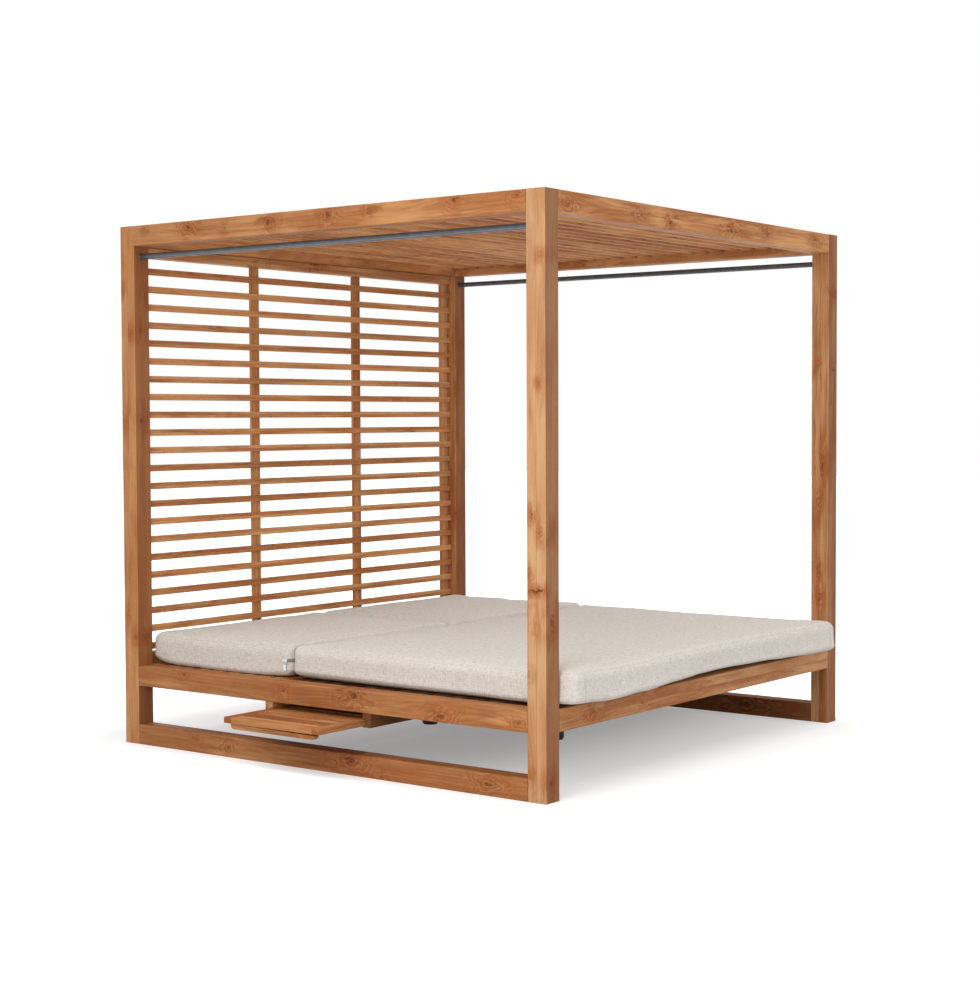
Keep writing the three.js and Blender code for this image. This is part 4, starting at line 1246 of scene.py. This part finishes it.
class CushionForm:
    """A boxed cushion: panels above and below, and a boxing strip round its sides.

    It has a corner radius for its foot and its head end. Meets is 1 where another cushion lies at its
    head end, and -1 where it lies at its foot.
    """

    def __init__(self, low, high, corners, meets, upright_seams=()):
        fabric = bpy.context.scene.daybed_fabric
        self.low, self.corners = low, corners
        self.meets, self.joint = meets, fabric.joint_radius
        self.centre, self.half = (low + high) / 2, (high - low) / 2
        self.upper, self.lower = fabric.upper_radius, fabric.lower_radius
        self.crown, self.draw_in, self.reach = fabric.crown, fabric.draw_in, fabric.under_reach
        self.top = high.z - self.crown
        self.upright_seams = upright_seams
        self.places = [
            stations(low.x, high.x, self.upper, fabric.cell, upright_seams),
            stations(low.y, high.y, self.upper, fabric.cell),
            stations(low.z, self.top, self.upper, fabric.cell),
        ]

    def round_plan(self, x, y):
        """Rounds the corners in plan. Gives the point, its distance from the outline and the way out."""
        centre, half = self.centre, self.half
        radius = self.corners["foot" if y < centre.y else "head"]
        sx, sy = (1 if x > centre.x else -1), (1 if y > centre.y else -1)
        reach_x, reach_y = half.x - radius, half.y - radius
        past_x, past_y = abs(x - centre.x) - reach_x, abs(y - centre.y) - reach_y
        if past_x > 0 and past_y > 0:
            scale = max(past_x, past_y) / math.hypot(past_x, past_y)
            x = centre.x + sx * (reach_x + past_x * scale)
            y = centre.y + sy * (reach_y + past_y * scale)
            return x, y, radius - max(past_x, past_y), Vector((sx * past_x, sy * past_y, 0)).normalized()
        out = Vector((sx, 0, 0)) if past_x > past_y else Vector((0, sy, 0))
        return x, y, radius - max(past_x, past_y), out

    def shape(self, point):
        """The place of a point of the plain box in the rounded, crowned cushion."""
        x, y, inside, out = self.round_plan(point.x, point.y)
        z = point.z
        above = z > (self.low.z + self.top) / 2
        met = max(0.0, out.y * self.meets) ** 2
        radius = self.upper + (self.joint - self.upper) * met if above else self.lower
        level = self.top - radius if above else self.low.z + radius
        arm = Vector((radius - inside, z - level))
        if arm.x > 0 and (arm.y > 0) == above and abs(arm.y) > 1e-9:
            bent = arm * (max(arm.x, abs(arm.y)) / arm.length)
            x += out.x * (bent.x - arm.x)
            y += out.y * (bent.x - arm.x)
            z = level + bent.y
        height = (z - self.low.z) / (self.top - self.low.z)
        z += self.crown_rise(x, y) * max(0.0, height) ** 3
        z += self.under_lift(x, y, inside) * max(0.0, 1 - height) ** 1.5
        share_x, share_y = (x - self.centre.x) / self.half.x, (y - self.centre.y) / self.half.y
        x -= self.draw_in * share_x ** 5 * max(0.0, 1 - share_y ** 4)
        y -= self.draw_in * share_y ** 5 * max(0.0, 1 - share_x ** 4)
        return Vector((x, y, z))

    def crown_rise(self, x, y):
        rise = self.crown
        for value, centre, half in ((x, self.centre.x, self.half.x), (y, self.centre.y, self.half.y)):
            inward = min(1.0, (half - abs(value - centre)) / CROWN_REACH)
            rise *= 1 - (1 - max(0.0, inward)) ** 2
        return rise

    def under_lift(self, x, y, inside):
        """The lower edge stands off what the cushion rests on, unevenly along the sides and the foot."""
        lift = along_table(SIDE_LIFT, y)
        past_foot = smooth_share(-y, LIP_START, LIP_END)
        if past_foot > 0:
            lift += (along_table(FOOT_LIP, x) - lift) * past_foot
        reach = self.reach + (LIP_REACH - self.reach) * past_foot
        return lift * (1 - smooth_share(inside, 0.0, reach))

    def build(self, name):
        """The cushion's closed mesh, with the cover's own coordinates on each face corner."""
        work = bmesh.new()
        counts = [len(p) - 1 for p in self.places]
        found = {}

        def vertex(key):
            if key not in found:
                flat = Vector(self.places[axis][key[axis]] for axis in range(3))
                found[key] = (work.verts.new(self.shape(flat)), flat)
            return found[key]

        cloth = work.loops.layers.float_vector.new("cloth")
        for axis in range(3):
            u, v = [a for a in range(3) if a != axis]
            squares = [(i, j) for i in range(counts[u]) for j in range(counts[v])]
            for side in (0, counts[axis]):
                for i, j in squares:
                    corners = []
                    for a, b in ((i, j), (i + 1, j), (i + 1, j + 1), (i, j + 1)):
                        key = [0, 0, 0]
                        key[axis], key[u], key[v] = side, a, b
                        corners.append(vertex(tuple(key)))
                    face = work.faces.new([c[0] for c in corners])
                    for loop, (_, flat) in zip(face.loops, corners):
                        loop[cloth] = (flat[u] + 3.0 * axis, flat[v] + 3.0 * bool(side), 0.0)
        mesh = finish_mesh(work, name)
        write_attributes(mesh, seam=[self.seam_share(key, counts) for key in found])
        return link_mesh(name, mesh, "cover_cloth")

    def seam_share(self, key, counts):
        """1 where two panels of the cover are sewn together."""
        on_x, on_y, on_z = (key[axis] in (0, counts[axis]) for axis in range(3))
        upright = key[1] == 0 and self.places[0][key[0]] in self.upright_seams
        return 1.0 if (on_z and (on_x or on_y)) or upright else 0.0


def mesh_places(mesh):
    return np.array([v.co for v in mesh.vertices])


def write_places(mesh, places):
    mesh.vertices.foreach_set("co", places.astype(np.float32).ravel())
    mesh.update()


def swell(piece, cap):
    """Lets the cover swell in a cloth simulation, no further than the cap, and keeps the result."""
    rest = mesh_places(piece.data)
    above = rest[:, 2] - rest[:, 2].min()
    pins = piece.vertex_groups.new(name="rests")
    for index, height in enumerate(above):
        pins.add([index], 1.0 if height < PINNED_BELOW else 0.0, "REPLACE")
    cloth = piece.modifiers.new("cover", "CLOTH")
    for name, value in COVER_CLOTH.items():
        setattr(cloth.settings, name, value)
    cloth.settings.effector_weights.gravity = 0.0
    cloth.settings.vertex_group_mass = "rests"
    cloth.collision_settings.use_collision = False
    scene = bpy.context.scene
    for step in range(1, SWELL_STEPS + 1):
        scene.frame_set(step)
    shift = mesh_places(piece.evaluated_get(bpy.context.evaluated_depsgraph_get()).data) - rest
    piece.modifiers.remove(cloth)
    scene.frame_set(1)
    length = np.linalg.norm(shift, axis=1, keepdims=True)
    shift *= np.minimum(1.0, cap / np.maximum(length, 1e-9))
    shift[:, 2] *= np.where(shift[:, 2] < 0, SINK_SHARE, 1.0)
    free = np.clip(above / SWELL_START, 0.0, 1.0)
    placed = rest + shift * (free * free * (3 - 2 * free))[:, None]
    placed[:, 2] = np.maximum(placed[:, 2], rest[:, 2].min())
    write_places(piece.data, placed)


def relax_cover(piece, seed):
    """Small uneven folds in the cover: long soft waves, and puckers beside the seams."""
    mesh = piece.data
    seam = mesh.attributes["seam"].data
    normals = [v.normal.copy() for v in mesh.vertices]
    floor = min(v.co.z for v in mesh.vertices)
    for vertex, normal in zip(mesh.vertices, normals):
        x, y, z = vertex.co
        if z >= floor + UNFOLDED_BELOW:
            rise = -SEAM_DEPTH * seam[vertex.index].value
            for height, plan, up in FOLDS:
                rise += height * noise.noise(Vector((x * plan, y * plan, z * up + seed)))
            vertex.co += normal * rise


def fit_plan(piece, low, high):
    """Stretches a cushion in plan until it just fills its place."""
    places = mesh_places(piece.data)
    for axis in (0, 1):
        least, most = places[:, axis].min(), places[:, axis].max()
        places[:, axis] = low[axis] + (places[:, axis] - least) * (high[axis] - low[axis]) / (most - least)
    write_places(piece.data, places)


def apply_modifiers(piece):
    """Replaces a piece's mesh by what its modifiers make of it."""
    graph = bpy.context.evaluated_depsgraph_get()
    shown = piece.evaluated_get(graph)
    made = bpy.data.meshes.new_from_object(shown, preserve_all_data_layers=True, depsgraph=graph)
    old = piece.data
    piece.modifiers.clear()
    piece.data = made
    bpy.data.meshes.remove(old)


def cushion(name, low, high, corners, meets, upright_seams=()):
    """One boxed cushion with its cover swollen, creased at the seams and subdivided once."""
    piece = CushionForm(low, high, corners, meets, upright_seams).build(name)
    swell(piece, bpy.context.scene.daybed_fabric.swell_cap)
    relax_cover(piece, sum(map(ord, name)) % 97)
    fit_plan(piece, low, high)
    piece.data.shade_smooth()
    smooth = piece.modifiers.new("subdivision", "SUBSURF")
    smooth.levels = smooth.render_levels = 1
    apply_modifiers(piece)
    return piece


class DAYBED_OT_seat_cushion(bpy.types.Operator):
    """Make the full-width seat cushion, which hangs over the foot rail"""
    bl_idname = "daybed.seat_cushion"
    bl_label = "Seat cushion"

    foot_corner: length_property("Foot corner", "Radius of the corners at the foot end", 0.060)
    corner: length_property("Corner", "Radius of the other corners", 0.030)
    side_play: length_property("Side play", "How far the cover bulges past the foam at the sides", 0.002)
    head_play: length_property("Head play", "How far the cover bulges towards the back cushions", 0.0025)
    foot_play: length_property("Foot play", "How far the cover bulges past the foam at the foot", 0.020)
    corner_seam: length_property("Corner seam", "Distance of the upright seams from the corners", 0.070)

    def execute(self, context):
        low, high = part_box("seat_cushion")
        low -= Vector((self.side_play, self.foot_play, 0))
        high += Vector((self.side_play, self.head_play, 0))
        seams = (low.x + self.corner_seam, high.x - self.corner_seam)
        corners = {"foot": self.foot_corner, "head": self.corner}
        piece = cushion("seat_cushion_cover", low, high, corners, 1, seams)
        place_piece(piece, "base", "fabric", "seat_cushion")
        return {"FINISHED"}


class DAYBED_OT_back_cushions(bpy.types.Operator):
    """Make the two back cushions and their zips"""
    bl_idname = "daybed.back_cushions"
    bl_label = "Back cushions"

    corner: length_property("Corner", "Radius of the corners", 0.030)
    side_play: length_property("Side play", "How far the cover bulges past the foam at the sides", 0.002)
    foot_play: length_property("Foot play", "How far the cover bulges towards the seat cushion", 0.0025)
    bend_reach: length_property("Bend reach", "Length over which a cushion bends behind the hinge", 0.25)
    zip_level: share_property("Zip level", "Height of the zip on the boxing", 0.52)

    def execute(self, context):
        for side, sign in SIDES:
            node = f"back_cushion_{side}"
            low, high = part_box(node)
            low -= Vector((self.side_play, self.foot_play, 0))
            high += Vector((self.side_play, 0, 0))
            piece = cushion(f"{node}_cover", low, high, {"foot": self.corner, "head": self.corner}, -1)
            path = zip_path(piece, sign, low, high, low.z + (high.z - low.z) * self.zip_level, self.corner)
            place_piece(zip_tape(f"zip_{side}_tape", path), "base", "fabric")
            place_piece(zip_slider(f"zip_{side}_slider", *path[ZIP_PARK]), "base", "stainless")
            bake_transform(piece)
            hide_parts(node)
        return {"FINISHED"}


# Zips


def zip_path(piece, sign, low, high, level, radius):
    """Places and outward directions on the cover: round the outer corner, then along the foot face."""
    middle = Vector(((high.x if sign > 0 else low.x) - sign * radius, low.y + radius, level))
    stops = []
    for i in range(ZIP_CORNER_STEPS + 1):
        angle = i / ZIP_CORNER_STEPS * math.pi / 2
        out = Vector((sign * math.cos(angle), -math.sin(angle), 0))
        stops.append((middle + out * radius, out))
    run = round((high.x - low.x - 2 * radius - ZIP_SHORT) / ZIP_STEP)
    for i in range(1, run):
        stops.append((Vector((middle.x - sign * i * ZIP_STEP, low.y, level)), Vector((0, -1, 0))))
    tree = BVHTree.FromObject(piece, bpy.context.evaluated_depsgraph_get())
    path = []
    for place, out in stops:
        hit = tree.ray_cast(place + out * ZIP_PROBE, -out)[0]
        path.append((hit if hit is not None else place, out))
    return path


def zip_tape(name, path):
    """Two tapes with a row of teeth between them, raised a little from the cover."""
    work = bmesh.new()
    rings = []
    for index, (place, out) in enumerate(path):
        rings.append([])
        for rise, stand in ZIP_SECTION:
            tooth = ZIP_TOOTH if index % 2 and stand == ZIP_CREST else 0.0
            rings[-1].append(work.verts.new(place + out * (stand + tooth) * MM + UP * rise * MM))
    for corners in (*between_rings(rings), rings[0], list(reversed(rings[-1]))):
        work.faces.new(corners)
    cloth = work.loops.layers.float_vector.new("cloth")
    for face in work.faces:
        for loop in face.loops:
            loop[cloth] = (loop.vert.co.x + loop.vert.co.y, loop.vert.co.z, 0.0)
    mesh = finish_mesh(work, name)
    write_attributes(mesh, seam=[0.0] * len(mesh.vertices))
    return link_mesh(name, mesh, "zip_tape")


def eased_block(work, size, centre, ease):
    """A block with rounded edges, added to a mesh in the making."""
    made = bmesh.ops.create_cube(work, size=1.0)["verts"]
    bmesh.ops.scale(work, vec=size, verts=made)
    bmesh.ops.translate(work, vec=centre, verts=made)
    round_edges(work, list({edge for vert in made for edge in vert.link_edges}), ease)


def ring_of_wire(work, centre, radius, wire, turns=24, sides=8):
    """A wire ring that stands across the slider, added to a mesh in the making."""
    rings = []
    for i in range(turns):
        angle = math.tau * i / turns
        arm = Vector((math.sin(angle), 0, math.cos(angle)))
        rings.append([])
        for j in range(sides):
            tilt = math.tau * j / sides
            across = Vector((0, wire * math.sin(tilt), 0))
            rings[-1].append(work.verts.new(Vector(centre) + arm * (radius + wire * math.cos(tilt)) + across))
    for corners in between_rings(rings + rings[:1]):
        work.faces.new(corners)


def zip_slider(name, place, out):
    """The slider's body with its bridge, and the pull that hangs from it. It is made in millimetres."""
    work = bmesh.new()
    for size, centre, ease in SLIDER_BLOCKS:
        eased_block(work, size, centre, ease)
    ring_of_wire(work, *SLIDER_RING)
    turn = Matrix((out.cross(UP), out, UP)).transposed().to_4x4()
    grown = Matrix.Scale(ZIP_SLIDER * MM, 4)
    bmesh.ops.transform(work, matrix=Matrix.Translation(place) @ turn @ grown, verts=work.verts)
    piece = link_mesh(name, finish_mesh(work, name), "bright_steel")
    soften_normals(piece)
    return piece


# Stage


def look_matrix(place, yaw, pitch, roll):
    """A camera's matrix: yaw from +X towards +Y, pitch below the horizon, then roll."""
    forward = Vector((math.cos(yaw) * math.cos(pitch), math.sin(yaw) * math.cos(pitch), -math.sin(pitch)))
    right = forward.cross(UP).normalized()
    up = right.cross(forward)
    across = math.cos(roll) * right + math.sin(roll) * up
    above = math.cos(roll) * up - math.sin(roll) * right
    turn = Matrix((across, above, -forward)).transposed().to_4x4()
    return Matrix.Translation(place) @ turn


def white_ray(graph):
    """1 for rays from the camera, from glossy surfaces and through clear ones."""
    path = graph.node("ShaderNodeLightPath").outputs
    kinds = ("Camera", "Glossy", "Transmission")
    seen, glossy, clear = (Value(graph, path[f"Is {kind} Ray"]) for kind in kinds)
    return graph.reckon("MAXIMUM", graph.reckon("MAXIMUM", seen, glossy), clear)


class DAYBED_OT_stage(bpy.types.Operator):
    """Make the floor, the lamps, the world and the camera"""
    bl_idname = "daybed.stage"
    bl_label = "Stage"

    floor_half: length_property("Floor half", "Half the floor's width", 30.0, most=100.0)

    def execute(self, context):
        stage = context.scene.daybed_stage
        self.floor(stage)
        self.world(stage)
        for name, (size, place, aim) in LAMPS.items():
            self.lamp(f"{name}_lamp", getattr(stage, f"{name}_power"), size, Vector(place), Vector(aim))
        self.camera(context)
        context.scene.view_settings.view_transform = "Standard"
        return {"FINISHED"}

    def floor(self, stage):
        """A pale floor that keeps the daybed's shadow, and turns white away from it. Its glow for the camera
        is painted light: it is weakest under the daybed, which adds painted shade there, and grows towards
        white beside it.
        """
        graph, shader = new_material("floor_pale")
        place = graph.place()
        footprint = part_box("post_head_right")[1]
        x, y, _ = place.split()
        past_x, past_y = x.apply("ABSOLUTE") - footprint.x, y.apply("ABSOLUTE") - footprint.y
        # Painted light: the floor's glow is least under the footprint, a painted shade, and grows to white
        # outside it, faster at the sides.
        away = graph.reckon("MAXIMUM", past_x * SIDE_FALL, past_y)
        under = away.ease(-stage.shade_depth, -stage.white_start, stage.floor_lift, stage.edge_lift)
        beyond = away.ease(stage.white_start, stage.white_end, 0.0, 1.0 - stage.edge_lift)
        graph.feed(shader, {
            "Base Color": graph.mix(graph.noise(place, scale=0.7) * 0.05, opaque(stage.floor_colour), WHITE),
            "Roughness": 0.9,
            "Specular IOR Level": 0.0,
            "Emission Color": WHITE,
            "Emission Strength": white_ray(graph) * (under + beyond),
        })
        half = self.floor_half
        corners = [(-half, -half, 0), (half, -half, 0), (half, half, 0), (-half, half, 0)]
        mesh = bpy.data.meshes.new("floor")
        mesh.from_pydata(corners, [], [(0, 1, 2, 3)])
        floor = link_mesh("floor", mesh, "floor_pale")

    def world(self, stage):
        """Even light for the object, and plain white for what the camera sees behind it."""
        world = bpy.data.worlds.new("studio")
        world.use_nodes = True
        world.node_tree.nodes.clear()
        graph = Graph(world.node_tree)
        mixed = graph.node("ShaderNodeMixShader")
        graph.join(white_ray(graph), mixed.inputs[0])
        for strength, socket in ((stage.ambient, mixed.inputs[1]), (1.0, mixed.inputs[2])):
            light = graph.node("ShaderNodeBackground")
            graph.feed(light.inputs, {"Color": WHITE, "Strength": strength})
            graph.join(Value(graph, light.outputs[0]), socket)
        graph.join(Value(graph, mixed.outputs[0]), graph.node("ShaderNodeOutputWorld").inputs["Surface"])
        bpy.context.scene.world = world

    def lamp(self, name, power, size, place, aim):
        data = bpy.data.lights.new(name, "AREA")
        data.shape = "DISK"
        data.size = size
        data.energy = power
        lamp = bpy.data.objects.new(name, data)
        turn = (aim - place).to_track_quat("-Z", "Y").to_matrix().to_4x4()
        lamp.matrix_world = Matrix.Translation(place) @ turn
        bpy.context.scene.collection.objects.link(lamp)

    def camera(self, context):
        data = bpy.data.cameras.new("photo_camera")
        data.sensor_width = SENSOR
        data.lens = FOCAL_PIXELS / FRAME_PIXELS * SENSOR
        camera = bpy.data.objects.new("photo_camera", data)
        camera.matrix_world = look_matrix(CAMERA_PLACE, CAMERA_YAW, CAMERA_PITCH, CAMERA_ROLL)
        context.scene.collection.objects.link(camera)
        context.scene.camera = camera


# Add-on


OPERATORS = (
    DAYBED_OT_frame,
    DAYBED_OT_head_panel,
    DAYBED_OT_roof,
    DAYBED_OT_curtain_rods,
    DAYBED_OT_carriers,
    DAYBED_OT_seat_decks,
    DAYBED_OT_recliners,
    DAYBED_OT_trays,
    DAYBED_OT_seat_cushion,
    DAYBED_OT_back_cushions,
    DAYBED_OT_stage,
)


class DAYBED_PT_panel(bpy.types.Panel):
    """Lists the daybed's operators and settings"""
    bl_idname = "DAYBED_PT_panel"
    bl_label = "Canopy daybed"
    bl_space_type = "VIEW_3D"
    bl_region_type = "UI"
    bl_category = "Daybed"

    def draw(self, context):
        for operator in OPERATORS:
            self.layout.operator(operator.bl_idname, text=operator.bl_label)
        for name, group in SETTINGS.items():
            box = self.layout.box()
            for field in group.__annotations__:
                box.prop(getattr(context.scene, name), field)


def register():
    for group in SETTINGS.values():
        bpy.utils.register_class(group)
    for name, group in SETTINGS.items():
        setattr(bpy.types.Scene, name, bpy.props.PointerProperty(type=group))
    for operator in OPERATORS:
        bpy.utils.register_class(operator)
    bpy.utils.register_class(DAYBED_PT_panel)


def unregister():
    bpy.utils.unregister_class(DAYBED_PT_panel)
    for operator in reversed(OPERATORS):
        bpy.utils.unregister_class(operator)
    for name, group in SETTINGS.items():
        delattr(bpy.types.Scene, name)
        bpy.utils.unregister_class(group)


def main():
    register()
    build_materials()
    for operator in OPERATORS:
        group, name = operator.bl_idname.split(".")
        getattr(getattr(bpy.ops, group), name)()


if __name__ == "__main__":
    main()
